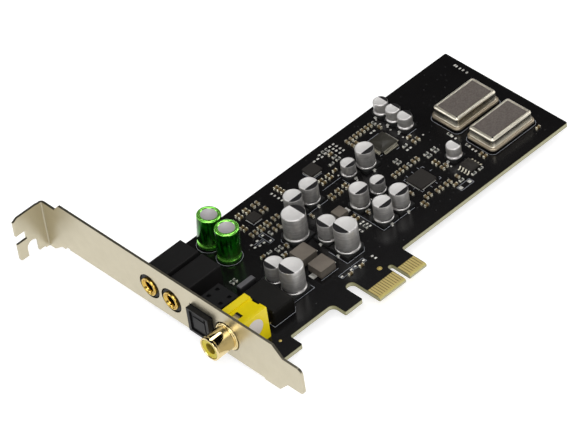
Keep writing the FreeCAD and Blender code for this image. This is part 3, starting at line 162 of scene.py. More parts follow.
def main_axes(points: np.ndarray) -> tuple[np.ndarray, np.ndarray]:
    """The mean of some points, and their directions of spread as rows, the widest first."""
    middle = points.mean(0)
    return middle, np.linalg.svd(points - middle, full_matrices=False)[2]


def circle(radius: float, count: int) -> Outline:
    """The outline of a round piece: points at (r cos a, r sin a), with r less the inset.

    Args:
        radius: r where the inset is 0.
        count: how many points lie round it.

    Returns:
        A function that gives the ring of points at an inset.
    """
    angle = np.arange(count) * TURN / count
    ring = np.stack([np.cos(angle), np.sin(angle)], 1)
    return lambda inset: ring * max(radius - inset, 0.0)


def rounded_box(length: float, width: float, corner: float, steps: int = 6) -> Outline:
    """The outline of a rectangle with round corners.

    Each corner is a quarter circle of steps + 1 points about its own centre. An inset moves the
    sides in and shrinks the corner radius with them.

    Args:
        length: size along X.
        width: size along Y.
        corner: radius of the corners.
        steps: spans in each corner.

    Returns:
        A function that gives the ring of points at an inset.
    """
    angle = np.ravel(np.linspace(0, math.pi / 2, steps + 1) + np.arange(4)[:, None] * math.pi / 2)
    arc = np.stack([np.cos(angle), np.sin(angle)], 1)
    side = np.repeat([(1, 1), (-1, 1), (-1, -1), (1, -1)], steps + 1, axis=0)
    half = np.array([length, width]) / 2

    def ring(inset: float) -> np.ndarray:
        """The ring of points at an inset."""
        radius = max(corner - inset, 0.01)
        return side * np.maximum(half - inset - radius, 0.0) + radius * arc

    return ring


def stacked(outline: Outline, profile: Profile, loop: bool = False) -> Skin:
    """A surface of rings: each point of the profile is the outline at an inset, at a height.

    Point (i, j) lies at outline(inset_i)[j] and z_i, so a round outline gives a turned piece and
    any other a moulded one.

    Args:
        outline: gives the ring at an inset.
        profile: (inset, z) from the lower end to the upper one.
        loop: joins the last ring to the first, as on a frame or an open tube, and otherwise a fan
            about a middle point closes each end.

    Returns:
        The closed surface, with marks that hold each point's place across the outline.
    """
    rings = [np.column_stack([outline(inset), np.full(len(outline(inset)), z)]) for inset, z in profile]
    count, size = len(rings), len(rings[0])
    points = np.concatenate(rings)
    i, j = np.meshgrid(np.arange(count if loop else count - 1), np.arange(size), indexing="ij")
    low, high, after = i * size, (i + 1) % count * size, (j + 1) % size
    quads = np.stack([low + j, low + after, high + after, high + j], -1).reshape(-1, 4)
    faces = [tuple(int(p) for p in quad) for quad in quads]
    if not loop:
        bottom, top, last = len(points), len(points) + 1, (count - 1) * size
        points = np.concatenate([points, [rings[0].mean(0), rings[-1].mean(0)]])
        faces += [(bottom, (k + 1) % size, k) for k in range(size)]
        faces += [(top, last + k, last + (k + 1) % size) for k in range(size)]
    return Skin(points, faces)


def eased(start: Point, end: Point, steps: int, hollow: bool = False) -> list[Point]:
    """A quarter ellipse from one point of a profile to another.

    The point at share t lies at (1 - cos, sin) of t times a right angle across and up, or with
    the two swapped where the edge is hollow.

    Args:
        start: the first point.
        end: the last point.
        steps: spans between them.
        hollow: bends it inwards, as a fillet, instead of outwards.

    Returns:
        The points, both ends with them.
    """
    turn = np.linspace(0, math.pi / 2, steps + 1)
    up, across = np.sin(turn), 1 - np.cos(turn)
    if hollow:
        up, across = across, up
    return [(start[0] + (end[0] - start[0]) * float(b), start[1] + (end[1] - start[1]) * float(a))
            for a, b in zip(up, across)]


def shoulder(inset: float, top: float, radius: float, steps: int) -> list[Point]:
    """The part of a profile that rounds an upper edge off, from the wall to the top."""
    return eased((inset, top - radius), (inset + radius, top), steps)


def prism(ring: Sequence[Any], low: float, high: float) -> Skin:
    """A flat outline made solid from one height to another.

    Args:
        ring: its points, anticlockwise.
        low: height of the underside.
        high: height of the upper side.

    Returns:
        The closed surface.
    """
    outline = np.asarray(ring, float)
    count = len(outline)
    points = np.concatenate([np.column_stack([outline, np.full(count, z)]) for z in (low, high)])
    faces = [tuple(range(count))[::-1], tuple(range(count, 2 * count))]
    faces += [(k, (k + 1) % count, (k + 1) % count + count, k + count) for k in range(count)]
    return Skin(points, faces)


def strips(path: Profile, width: float, low: float, high: float) -> list[Skin]:
    """Flat strips with square ends along a path: each end is moved half a width to either side.

    Args:
        path: the points of the path, in the plane of the board.
        width: how wide each strip is.
        low: height of the strips' undersides.
        high: height of their upper sides.

    Returns:
        One strip for each span.
    """
    found = []
    for a, b in zip(np.array(path[:-1], float), np.array(path[1:], float)):
        along = (b - a) / np.linalg.norm(b - a)
        side = np.array([-along[1], along[0]]) * width / 2
        found.append(prism([a - side, b - side, b + side, a + side], low, high))
    return found


def lathe(profile: Profile, count: int = 64) -> Skin:
    """A ring or tube from (radius, z), up the outside and down the inside."""
    reach = max(radius for radius, _ in profile)
    return stacked(circle(reach, count), [(reach - radius, z) for radius, z in profile], loop=True)


def pillow(length: float, width: float, height: float, corner: float = 0.12) -> Skin:
    """A low mound with rounded shoulders, as solder lies on a pad."""
    profile = [(0, 0)] + eased((0, height * 0.35), (min(length, width) * 0.3, height), 3)
    return stacked(rounded_box(length, width, corner, 3), profile)


# Shader maths as plain expressions

def maths(operation: str, swapped: bool = False) -> Callable[..., "Wire"]:
    """Makes the method of a wire for one operator.

    Args:
        operation: what the Math node does.
        swapped: takes the wire as the second operand, as in 1 - mask.

    Returns:
        The method, which adds the node and gives its output.
    """
    def method(self: "Wire", other: Any = 0.0) -> "Wire":
        """One Math node on the wire and another value or wire."""
        first, second = (other, self) if swapped else (self, other)
        return self.finish.add("ShaderNodeMath", {"operation": operation}, {0: first, 1: second})

    return method


@dataclass(frozen=True)
class Wire:
    """A value that runs through the nodes of a finish, and takes part in plain expressions."""

    finish: "Nodes"
    socket: bpy.types.NodeSocket

    __add__ = __radd__ = maths("ADD")
    __mul__ = __rmul__ = maths("MULTIPLY")
    __sub__, __rsub__ = maths("SUBTRACT"), maths("SUBTRACT", swapped=True)
    __truediv__, __pow__ = maths("DIVIDE"), maths("POWER")
    __gt__, __abs__ = maths("GREATER_THAN"), maths("ABSOLUTE")
    least, most = maths("MINIMUM"), maths("MAXIMUM")

    def spread(self, low: float, high: float) -> "Wire":
        """0 below low, 1 above high and a smooth step between."""
        return self.finish.add("ShaderNodeMapRange", {"interpolation_type": "SMOOTHSTEP"},
                               {0: self, 1: low, 2: high})

    def part(self, name: str) -> "Wire":
        """One axis of a vector."""
        return self.finish.add("ShaderNodeSeparateXYZ", {}, {0: self}, name)


class Nodes:
    """The node tree of one finish, with its Principled shader."""

    MIX_FIRST, MIX_SECOND, MIX_RESULT = 6, 7, 2

    def __init__(self, name: str) -> None:
        """Makes an empty material of that name."""
        self.material = bpy.data.materials.new(name)
        self.material.use_nodes = True
        self.tree = self.material.node_tree
        self.shader = self.tree.nodes["Principled BSDF"]

    def add(self, kind: str, settings: dict[str, Any], inputs: dict[Any, Any], output: Any = 0) -> Wire:
        """Adds one node.

        Args:
            kind: the node's type.
            settings: its properties, set first.
            inputs: a value or a wire for each socket, by name or number.
            output: which output to take.

        Returns:
            That output as a wire.
        """
        item = self.tree.nodes.new(kind)
        for key, value in settings.items():
            setattr(item, key, value)
        for key, value in inputs.items():
            self.put(item, key, value)
        return Wire(self, item.outputs[output])

    def put(self, item: bpy.types.Node, key: Any, value: Any) -> None:
        """Gives a socket its wire, or its plain value.

        Args:
            item: the node.
            key: the socket's name or number.
            value: what it takes.
        """
        if isinstance(value, Wire):
            self.tree.links.new(value.socket, item.inputs[key])
        else:
            item.inputs[key].default_value = value

    def set(self, **sockets: Any) -> None:
        """Sets sockets of the Principled shader.

        Args:
            sockets: a value or a wire for each, named in lower case with underscores.
        """
        names = {item.name.lower().replace(" ", "_"): item.name for item in self.shader.inputs}
        for key, value in sockets.items():
            if isinstance(value, tuple) and key.endswith("color"):
                value = (*value, 1.0)
            self.put(self.shader, names[key], value)

    def coordinate(self, source: str) -> Wire:
        """One of the texture coordinates, such as Object or Normal."""
        return self.add("ShaderNodeTexCoord", {}, {}, source)

    def place(self, stretch: Triple = (1, 1, 1)) -> Wire:
        """Object coordinates in millimetres, stretched along each axis."""
        factors = tuple(part / MM for part in stretch)
        return self.add("ShaderNodeMapping", {}, {"Vector": self.coordinate("Object"), "Scale": factors})

    def noise(self, size: float, detail: float, stretch: Triple = (1, 1, 1)) -> Wire:
        """Soft noise from 0 to 1, whose blotches are about size millimetres wide."""
        return self.add("ShaderNodeTexNoise", {}, {"Vector": self.place(stretch), "Scale": 1 / size,
                                                   "Detail": detail})

    def normal(self, name: str) -> Wire:
        """One axis of the surface's normal."""
        return self.coordinate("Normal").part(name)

    def mark(self, name: str) -> Wire:
        """One axis of the piece's own marks, in millimetres from its middle."""
        return self.add("ShaderNodeUVMap", {"uv_map": "marks"}, {}).part(name)

    def blend(self, share: Any, first: Any, second: Any) -> Wire:
        """The first colour at share 0 and the second at share 1."""
        ends = [(*end, 1.0) if isinstance(end, tuple) else end for end in (first, second)]
        return self.add("ShaderNodeMix", {"data_type": "RGBA"},
                        {0: share, self.MIX_FIRST: ends[0], self.MIX_SECOND: ends[1]}, self.MIX_RESULT)

    def relief(self, height: Wire, depth: float) -> None:
        """Feeds a height from 0 to 1 to the normal, as relief of that depth in millimetres."""
        self.set(normal=self.add("ShaderNodeBump", {}, {"Height": height, "Distance": depth * MM,
                                                        "Strength": 1.0}))


# Finishes

GLOSS_MEAN = 0.11
CLOUD_GLOSS = 0.12
SCRATCH_GLOSS = 0.10


def dimmed(colour: Colour, share: float) -> Colour:
    """A colour at a share of its brightness."""
    return tuple(part * share for part in colour)


class Finish:
    """What one kind of surface looks like."""

    name: str

    def build(self) -> bpy.types.Material:
        """Makes the material.

        Returns:
            The material with all its nodes.
        """
        nodes = Nodes(self.name)
        self.wire(nodes)
        return nodes.material

    def wire(self, nodes: Nodes) -> None:
        """Adds the nodes of this finish."""
        raise NotImplementedError


@dataclass(frozen=True)
class SolderMask(Finish):
    """The board: black lacquer over copper on both faces, and bare laminate at its cut edges."""

    name: str = "board_lacquer"
    lacquer: Colour = (0.0040, 0.0036, 0.0038)
    tint: Colour = (0.0075, 0.0070, 0.0072)
    laminate: Colour = (0.40, 0.385, 0.25)
    skin: Colour = (0.15, 0.14, 0.05)
    bare: Colour = (0.26, 0.20, 0.07)
    bevel: Colour = (0.50, 0.43, 0.15)
    bare_left: float = 43.0
    bare_top: float = 5.7
    tip: float = 1.0
    half_thickness: float = 0.8
    # share of painted shade on the cut edges that face along X
    edge_shade: float = 0.62

    def wire(self, nodes: Nodes) -> None:
        """Tells the faces from the edges by the normal, and the contact tongue by its place.

        Args:
            nodes: takes the nodes.
        """
        flat = abs(nodes.normal("Z")).spread(0.6, 0.9)
        across, along, up = (nodes.place().part(name) for name in "XYZ")
        tongue = (across > self.bare_left) * (1 - (along > self.bare_top)) * flat
        lacquer = nodes.blend(nodes.noise(9, 3), self.lacquer, self.tint)
        bare = nodes.blend(nodes.noise(0.4, 2), dimmed(self.bare, 0.7), self.bare)
        bare = nodes.blend(along.spread(self.tip, self.tip + 0.15), self.bevel, bare)
        ply = nodes.noise(0.25, 2, (0.15, 0.15, 1))
        cream = nodes.blend(ply, dimmed(self.laminate, 0.72), self.laminate)
        edge = nodes.blend(abs(up + self.half_thickness).spread(0.55, 0.75), cream, self.skin)
        # painted shade: the cut edges that face along X are darkened towards the skin colour
        edge = nodes.blend(abs(nodes.normal("X")).spread(0.3, 0.9) * self.edge_shade, edge, self.skin)
        nodes.set(base_color=nodes.blend(flat, edge, nodes.blend(tongue, lacquer, bare)),
                  roughness=flat * -0.44 + 0.62 + ply * 0.04, specular_ior_level=0.26)
        nodes.relief(nodes.noise(0.9, 2), 0.003)


@dataclass(frozen=True)
class Metal(Finish):
    """Bare or plated metal: long faint scratches, blotches in the gloss and a little tarnish."""

    name: str
    colour: Colour
    roughness: float
    tarnish: Colour
    tarnish_share: float = 0.3
    grain: float = 0.12
    stretch: Triple = (1, 1, 1)
    depth: float = 0.002
    metallic: float = 1.0

    def wire(self, nodes: Nodes) -> None:
        """Blotches mix in the tarnish, and both noises vary the gloss about its mean.

        Args:
            nodes: takes the nodes.
        """
        cloud, scratch = nodes.noise(4, 3), nodes.noise(self.grain, 3, self.stretch)
        nodes.set(base_color=nodes.blend(cloud * self.tarnish_share, self.colour, self.tarnish),
                  metallic=self.metallic,
                  roughness=cloud * CLOUD_GLOSS + scratch * SCRATCH_GLOSS + (self.roughness - GLOSS_MEAN))
        nodes.relief(scratch, self.depth)


@dataclass(frozen=True)
class BentSteel(Finish):
    """Plated bracket steel: scratched along it, rougher with painted shade at folds, dulled at cut edges.
    """

    name: str = "bracket_steel"
    colour: Colour = (0.535, 0.490, 0.370)
    tarnish: Colour = (0.44, 0.395, 0.29)
    roughness: float = 0.23
    # share of the colour left at the folds, as painted shade
    fold_shade: float = 0.80
    fold_blur: float = 0.2
    cut: float = 0.30
    ears_from: float = 1.1

    def wire(self, nodes: Nodes) -> None:
        """A fold is where the normal points between two axes, and a cut edge where it points up or down.

        Args:
            nodes: takes the nodes.
        """
        cloud, scratch = nodes.noise(4, 3), nodes.noise(0.10, 3, (1, 0.04, 1))
        bend = (abs(nodes.normal("X")) * abs(nodes.normal("Y"))).spread(0.10, 0.30)
        sheared = abs(nodes.normal("Z")).spread(0.5, 0.8) * (1 - (nodes.place().part("X") > self.ears_from))
        gloss = cloud * CLOUD_GLOSS + scratch * SCRATCH_GLOSS
        plate = nodes.blend(cloud * 0.5, self.colour, self.tarnish)
        # painted shade: the folds are darkened, as well as made rougher
        plate = nodes.blend(bend, plate, dimmed(self.colour, self.fold_shade))
        nodes.set(base_color=nodes.blend(sheared, plate, dimmed(self.colour, self.cut)), metallic=1.0,
                  roughness=gloss + self.roughness + bend * self.fold_blur)
        nodes.relief(scratch, 0.003)


@dataclass(frozen=True)
class Moulding(Finish):
    """Moulded plastic, epoxy or rubber: fine spark-eroded grain and slow change in colour."""

    name: str
    colour: Colour
    roughness: float
    grain: float
    depth: float = 0.006
    variation: float = 0.25
    coat: float = 0.0
    glow: float = 0.0
    specular: float = 0.5
    # share of the colour left on upright faces, as painted shade
    side_shade: float = 1.0

    def wire(self, nodes: Nodes) -> None:
        """Slow noise varies the colour, fine noise the gloss and the relief.

        Args:
            nodes: takes the nodes.
        """
        cloud, grain = nodes.noise(3, 2), nodes.noise(self.grain, 2)
        colour = nodes.blend(cloud, dimmed(self.colour, 1 - self.variation), self.colour)
        # painted shade: upright faces are darkened
        if self.side_shade < 1:
            upright = 1 - nodes.normal("Z").spread(0.80, 0.98)
            colour = nodes.blend(upright, colour, dimmed(self.colour, self.side_shade))
        nodes.set(base_color=colour, roughness=grain * 0.14 + cloud * 0.08 + (self.roughness - GLOSS_MEAN),
                  coat_weight=self.coat, coat_roughness=0.12, specular_ior_level=self.specular,
                  subsurface_weight=self.glow, subsurface_scale=0.4 * MM, subsurface_radius=(1.0, 0.6, 0.2))
        nodes.relief(grain, self.depth)


@dataclass(frozen=True)
class Film(Finish):
    """Shrink sleeve: clear green film drawn tight over bright metal."""

    name: str = "green_film"
    deep: Colour = (0.001, 0.022, 0.001)
    middle: Colour = (0.010, 0.22, 0.006)
    # the green of the painted highlight
    bright: Colour = (0.30, 0.90, 0.12)

    def wire(self, nodes: Nodes) -> None:
        """Streaks run down the wall, and the rim and the crimp take a painted highlight but for some
        patches.

        Args:
            nodes: takes the nodes.
        """
        streak, patch = nodes.noise(0.8, 4, (1, 1, 0.25)), nodes.noise(1.1, 3)
        wall = nodes.blend(streak.spread(0.36, 0.64), self.deep, self.middle)
        # painted highlight: faces that point up or down, as on the rim and the crimp, take the bright green
        painted_highlight = abs(nodes.normal("Z")).spread(0.08, 0.50) * (1 - patch.spread(0.55, 0.66) * 0.5)
        nodes.set(base_color=nodes.blend(painted_highlight, wall, self.bright), metallic=0.75,
                  roughness=streak * 0.12 + 0.13, coat_weight=0.08, coat_roughness=0.08)
        nodes.relief(streak, 0.016)


@dataclass(frozen=True)
class CanCoat(Finish):
    """Lacquered aluminium of a surface capacitor, with the black field printed on its top."""

    radius: float
    side: Colour = (0.68, 0.66, 0.64)
    crown: Colour = (0.80, 0.78, 0.76)
    ink: Colour = (0.006, 0.005, 0.006)
    chord: float = 0.40

    @property
    def name(self) -> str:
        """The material's name, with the radius in tenths of a millimetre."""
        return f"can_coat_{round(self.radius * 10)}"

    def wire(self, nodes: Nodes) -> None:
        """The field is the top beyond a chord, short of the rim; lines and blotches mark the wall.

        Args:
            nodes: takes the nodes.
        """
        up = nodes.normal("Z")
        top = up.spread(0.75, 0.85)
        u, v = nodes.mark("X"), nodes.mark("Y")
        rim = (u * u + v * v) ** 0.5 / self.radius
        beyond = (u / self.radius).spread(self.chord, self.chord + 0.02)
        printed = beyond * (1 - rim.spread(0.965, 0.98)) * (up > 0.2)
        cloud, drawn = nodes.noise(1.6, 3), nodes.noise(0.12, 2, (1, 1, 0.05))
        lines = nodes.noise(0.35, 2, (0.05, 0.05, 1))
        side = nodes.blend((cloud + lines - 0.45).most(0.0).least(1.0), self.side, dimmed(self.side, 0.5))
        crown = nodes.blend(cloud * 0.5, self.crown, dimmed(self.crown, 0.82))
        nodes.set(base_color=nodes.blend(printed, nodes.blend(top, side, crown), self.ink),
                  metallic=0.80 - printed * 0.80 - top * 0.42, specular_ior_level=0.4,
                  roughness=cloud * 0.10 + drawn * 0.12 + top * 0.06 + 0.30 + printed * 0.2)
        nodes.relief(drawn, 0.003)


@dataclass(frozen=True)
class LidPlate(Finish):
    """Nickel-plated lid of an oscillator: bright drawn edges round a finely blasted top."""

    name: str = "lid_nickel"
    nickel: Colour = (0.88, 0.82, 0.68)
    blasted: Colour = (0.128, 0.110, 0.098)
    half_length: float = 8.18
    half_width: float = 4.48
    border: float = 0.08

    def wire(self, nodes: Nodes) -> None:
        """The blasted field is the top within its border; the upright wall takes painted shade.

        Args:
            nodes: takes the nodes.
        """
        facing = nodes.normal("Z")
        top = facing.spread(0.96, 0.995)
        for name, half in (("X", self.half_length), ("Y", self.half_width)):
            top = top * (1 - abs(nodes.mark(name)).spread(half, half + self.border))
        wall = 1 - abs(facing).spread(0.05, 0.25)
        speck, cloud = nodes.noise(0.55, 4), nodes.noise(2.4, 3)
        mottle = speck.spread(0.34, 0.66) * 0.6 + cloud * 0.4
        dull = nodes.blend(mottle, self.blasted, dimmed(self.blasted, 1.7))
        # painted shade: the upright wall is darkened to a quarter of the nickel
        nickel = nodes.blend(wall * 0.8, self.nickel, dimmed(self.nickel, 0.24))
        nodes.set(base_color=nodes.blend(top, nickel, dull), metallic=0.95 - top * 0.35,
                  roughness=top * 0.14 + speck * 0.06 + cloud * 0.05 - wall * 0.16 + 0.28)
        nodes.relief(speck, 0.012)


@dataclass(frozen=True)
class Ink(Finish):
    """White screen print on the board."""

    name: str = "screen_ink"
    colour: Colour = (0.40, 0.42, 0.46)
    worn: float = 0.55

    def wire(self, nodes: Nodes) -> None:
        """Fine noise wears it thin."""
        nodes.set(base_color=nodes.blend(nodes.noise(0.3, 3), dimmed(self.colour, self.worn), self.colour),
                  roughness=0.6)


COAX_GOLD = Metal("coax_gold", (0.74, 0.61, 0.33), 0.12, (0.50, 0.38, 0.15), 0.40, 0.3, depth=0.001)
COLLAR_GOLD = Metal("collar_gold", (0.68, 0.47, 0.11), 0.13, (0.30, 0.18, 0.03), 0.5, 0.3, depth=0.001)
CONTACT_GOLD = Metal("contact_gold", (0.66, 0.53, 0.20), 0.42, (0.44, 0.34, 0.13), 0.45, 0.08, (1, 0.1, 1),
                     metallic=0.6)
DOT_GOLD = Metal("dot_gold", (0.72, 0.55, 0.16), 0.40, (0.44, 0.34, 0.13), 0.4, 0.2, metallic=0.6)
SCREW_STEEL = Metal("screw_steel", (0.70, 0.68, 0.64), 0.26, (0.46, 0.44, 0.41), 0.4)
TIN = Metal("tin", (0.80, 0.79, 0.74), 0.34, (0.52, 0.50, 0.44), 0.5, 0.25, depth=0.006, metallic=0.62)
WARM_TIN = Metal("warm_tin", (0.93, 0.89, 0.75), 0.25, (0.44, 0.39, 0.24), 0.6, 0.25, depth=0.006,
                 metallic=0.7)
CONTACT_METAL = Metal("spring_metal", (0.72, 0.66, 0.52), 0.24, (0.5, 0.44, 0.32))
RADIAL_TOP = Metal("radial_aluminium", (0.52, 0.495, 0.50), 0.45, (0.34, 0.32, 0.33), 0.6, 0.5,
                   metallic=0.3)
NICKEL = Metal("header_nickel", (0.56, 0.48, 0.36), 0.40, (0.34, 0.27, 0.18), 0.5, 0.3, metallic=0.85)
TRACK_LACQUER = Moulding("track_lacquer", (0.0075, 0.0068, 0.0072), 0.26, 0.9, 0.002, 0.2, specular=0.3)
JACK_BLACK = Moulding("jack_black", (0.0105, 0.0100, 0.0100), 0.44, 0.16, 0.01, specular=0.13)
# near-black for hollows: painted shadow behind the coax window, painted shade deep in the jack bores
HOLLOW_SHADE_BLACK = Moulding("liner_black", (0.0030, 0.0028, 0.0025), 0.55, 0.16, 0.01, specular=0.15)
OPTICAL_BLACK = Moulding("optical_black", (0.0085, 0.0085, 0.0090), 0.46, 0.14, 0.01, specular=0.18)
YELLOW = Moulding("yellow_moulding", (0.78, 0.62, 0.004), 0.32, 0.5, 0.004, 0.10, coat=0.15, glow=0.12,
                  specular=0.35)
FUNNEL = Moulding("insulator_yellow", (0.50, 0.41, 0.012), 0.34, 0.5, 0.004, 0.20, glow=0.05, specular=0.3)
# darker yellow as painted shade deep in the insulator's bore
FUNNEL_SHADE = Moulding("insulator_bore", (0.26, 0.18, 0.010), 0.40, 0.5, 0.004, 0.30)
BASE_BLACK = Moulding("base_black", (0.010, 0.010, 0.010), 0.5, 0.2, specular=0.3)
RELAY_BLACK = Moulding("relay_black", (0.0058, 0.0052, 0.0044), 0.36, 0.12, 0.008, specular=0.20)
# the film capacitor takes painted shade on its upright faces
FILM_GREY = Moulding("film_grey", (0.125, 0.122, 0.128), 0.42, 0.9, 0.01, 0.45, specular=0.3, side_shade=0.08)
CHIP_EPOXY = Moulding("chip_epoxy", (0.024, 0.021, 0.018), 0.48, 0.08, 0.008, specular=0.28)
GLOSSY_EPOXY = Moulding("glossy_epoxy", (0.040, 0.037, 0.028), 0.38, 0.08, 0.006, 0.4, specular=0.40)
# the inductor cores take painted shade on their upright faces
PRESSED_POWDER = Moulding("pressed_powder", (0.195, 0.166, 0.136), 0.62, 0.14, 0.02, 0.35, specular=0.3,
                          side_shade=0.40)
CERAMIC = Moulding("capacitor_ceramic", (0.14, 0.092, 0.030), 0.35, 0.2, 0.004, coat=0.3)
RESISTOR_TOP = Moulding("resistor_top", (0.030, 0.032, 0.026), 0.3, 0.2, 0.004, coat=0.3)
ALUMINA = Moulding("alumina", (0.50, 0.50, 0.45), 0.5, 0.1)
STICKER = Moulding("sticker_paper", (0.62, 0.57, 0.53), 0.6, 0.12, 0.01, 0.15)
RUBBER = Moulding("bung_rubber", (0.015, 0.015, 0.015), 0.7, 0.2, 0.02)
BEAD = Moulding("bead_glass", (0.10, 0.14, 0.12), 0.15, 0.4, 0.002, coat=1.0)
RESIN = Moulding("emitter_resin", (0.02, 0.014, 0.014), 0.18, 0.4, 0.002, coat=0.6)


# Reading the model

@dataclass(frozen=True)
class Block:
    """The box of a node, or of one separate solid of it, in millimetres.

    Attributes:
        low: the lowest x, y and z.
        high: the highest x, y and z.
        facing: the way that its marked side points, in degrees from +X.
    """

    low: np.ndarray
    high: np.ndarray
    facing: float = 0.0

    @property
    def middle(self) -> np.ndarray:
        """Centre of the box."""
        return (self.low + self.high) / 2

    @property
    def size(self) -> np.ndarray:
        """Length of the box along each axis."""
        return self.high - self.low

    @property
    def lying(self) -> tuple[float, float, float]:
        """Long side, short side, and the turn about Z that lays the long side along the box's."""
        length, width = sorted(self.size[:2], reverse=True)
        return length, width, 0 if self.size[0] > self.size[1] else 90


def extent(*nodes: str) -> Block:
    """The box round some nodes."""
    corners = np.array([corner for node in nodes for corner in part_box(node)], float) / MM
    return Block(corners.min(0), corners.max(0))


def node_points(node: str) -> tuple[np.ndarray, np.ndarray]:
    """The mesh of a node with its loose triangles welded.

    Args:
        node: the node's name.

    Returns:
        The points in millimetres, and three of their numbers for each triangle.
    """
    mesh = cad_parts[node].data
    mesh.calc_loop_triangles()
    points = np.empty(len(mesh.vertices) * 3)
    mesh.vertices.foreach_get("co", points)
    triangles = np.empty(len(mesh.loop_triangles) * 3, np.int32)
    mesh.loop_triangles.foreach_get("vertices", triangles)
    rounded = np.round(points.reshape(-1, 3) / MM, WELD_DIGITS)
    welded, number = np.unique(rounded, axis=0, return_inverse=True)
    return welded, number.reshape(-1)[triangles].reshape(-1, 3)


def islands(node: str) -> list[Block]:
    """The separate solids of a node.

    Every point takes the lowest number found across its triangles until nothing changes, so the
    points of one solid end with one number.

    Args:
        node: the node's name.

    Returns:
        A box for each solid, in the order of their lowest points.
    """
    points, triangles = node_points(node)
    label = np.arange(len(points))
    while True:
        fresh = label.copy()
        for corner in range(3):
            np.minimum.at(fresh, triangles[:, corner], label[triangles].min(1))
        if (fresh == label).all():
            break
        label = fresh
    solids = [points[label == key] for key in np.unique(label)]
    return [Block(own.min(0), own.max(0), marked_side(own)) for own in solids]


def marked_side(points: np.ndarray) -> float:
    """The quarter turn whose opposite side is cut narrowest.

    Args:
        points: those of one solid.

    Returns:
        The turn, in degrees from +X.
    """
    widths = []
    for number, (axis, sign) in enumerate(((0, -1), (1, -1), (0, 1), (1, 1))):
        reach = points[:, axis] * sign
        edge = points[reach > reach.max() - 0.01, 1 - axis]
        widths.append((round(float(edge.max() - edge.min()), 2), number * 90))
    return min(widths)[1]


# Putting pieces in the scene

def placed(name: str, data: bpy.types.ID) -> bpy.types.Object:
    """Puts a new object in the scene.

    Args:
        name: the object's name.
        data: its mesh, light or camera.

    Returns:
        The object, at the origin.
    """
    item = bpy.data.objects.new(name, data)
    bpy.context.scene.collection.objects.link(item)
    return item


class Shelf:
    """Keeps each finish once and makes pieces of it."""

    def __init__(self) -> None:
        """Starts with no finish made."""
        self.made: dict[Finish, bpy.types.Material] = {}

    def material(self, finish: Finish) -> bpy.types.Material:
        """The material of a finish, made on first use.

        Args:
            finish: what it looks like.

        Returns:
            The same material each time.
        """
        if finish not in self.made:
            self.made[finish] = finish.build()
        return self.made[finish]

    def dress(self, node: str, finish: Finish) -> None:
        """Gives a node of the model its finish.

        Args:
            node: the node's name.
            finish: the one that takes the place of its own materials.
        """
        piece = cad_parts[node]
        piece.data.materials.clear()
        piece.data.materials.append(self.material(finish))

    def piece(self, name: str, slot: str, finishes: Sequence[Finish], skins: Sequence[Skin],
              stands_for: Sequence[str] = (), smooth: float = 40.0) -> None:
        """Makes a mesh piece of the card, with its place in its mesh.

        Args:
            name: the piece's name.
            slot: not used.
            finishes: one for each material number of the surfaces.
            skins: its surfaces, in millimetres.
            stands_for: nodes of the model that it replaces.
            smooth: edges sharper than this many degrees stay crisp.
        """
        skin = joined(skins)
        mesh = bpy.data.meshes.new(name)
        mesh.from_pydata((skin.points * MM).tolist(), [], skin.faces)
        mesh.polygons.foreach_set("material_index", np.array(skin.shades, np.int32))
        corners = np.empty(len(mesh.loops), np.int32)
        mesh.loops.foreach_get("vertex_index", corners)
        layer = mesh.uv_layers.new(name="marks")
        layer.data.foreach_set("uv", skin.marks[corners].astype(np.float32).ravel())
        for finish in finishes:
            mesh.materials.append(self.material(finish))
        mesh.polygons.foreach_set("use_smooth", np.ones(len(mesh.polygons), bool))
        mesh.validate()
        mesh.update()
        mesh.set_sharp_from_angle(angle=math.radians(smooth))
        item = placed(name, mesh)
        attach(item, CARD)
        if stands_for:
            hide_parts(*stands_for)
        log.info("%s: %d faces", name, len(skin.faces))


# Sub-assemblies

@dataclass
class SubAssembly:
    """A group of pieces: nodes that only take a finish, and pieces that are made here."""

    shelf: Shelf
    plain: ClassVar[dict[str, Finish]] = {}

    def build(self) -> None:
        """Dresses the plain nodes, then makes the rest."""
        for node, finish in self.plain.items():
            self.shelf.dress(node, finish)
        self.make()

    def make(self) -> None:
        """Makes the pieces that the model hasn't in full, where there are any."""


@dataclass
class Bracket(SubAssembly):
    """The folded bracket and its two screws."""

    plain: ClassVar[dict[str, Finish]] = {"bracket": BentSteel(), "bracket_screws": SCREW_STEEL}


@dataclass
class Relay(SubAssembly):
    """The relay on its ten feet, and the film capacitor."""

    plain: ClassVar[dict[str, Finish]] = {"relay_case": RELAY_BLACK, "film_capacitor": FILM_GREY}
    foot_steps: tuple[int, ...] = (-2, -1, 0, 1, 2)
    foot_pitch: float = 2.54
    foot_length: float = 0.85
    foot_width: float = 0.5
    foot_height: float = 0.22
    foot_hidden: float = 0.1

    def make(self) -> None:
        """Adds the feet that come out under the relay's long sides, flat on the board."""
        case = extent("relay_case")
        half = self.foot_width / 2
        foot = prism([(0, -half), (self.foot_length, -half), (self.foot_length, half), (0, half)],
                     0.0, self.foot_height)
        feet = []
        for step in self.foot_steps:
            along = case.middle[1] + step * self.foot_pitch
            feet += [foot.moved(case.high[0] - self.foot_hidden, along),
                     foot.turned(about_z(180)).moved(case.low[0] + self.foot_hidden, along)]
        self.shelf.piece("relay_feet", "tin", [CONTACT_GOLD], feet)


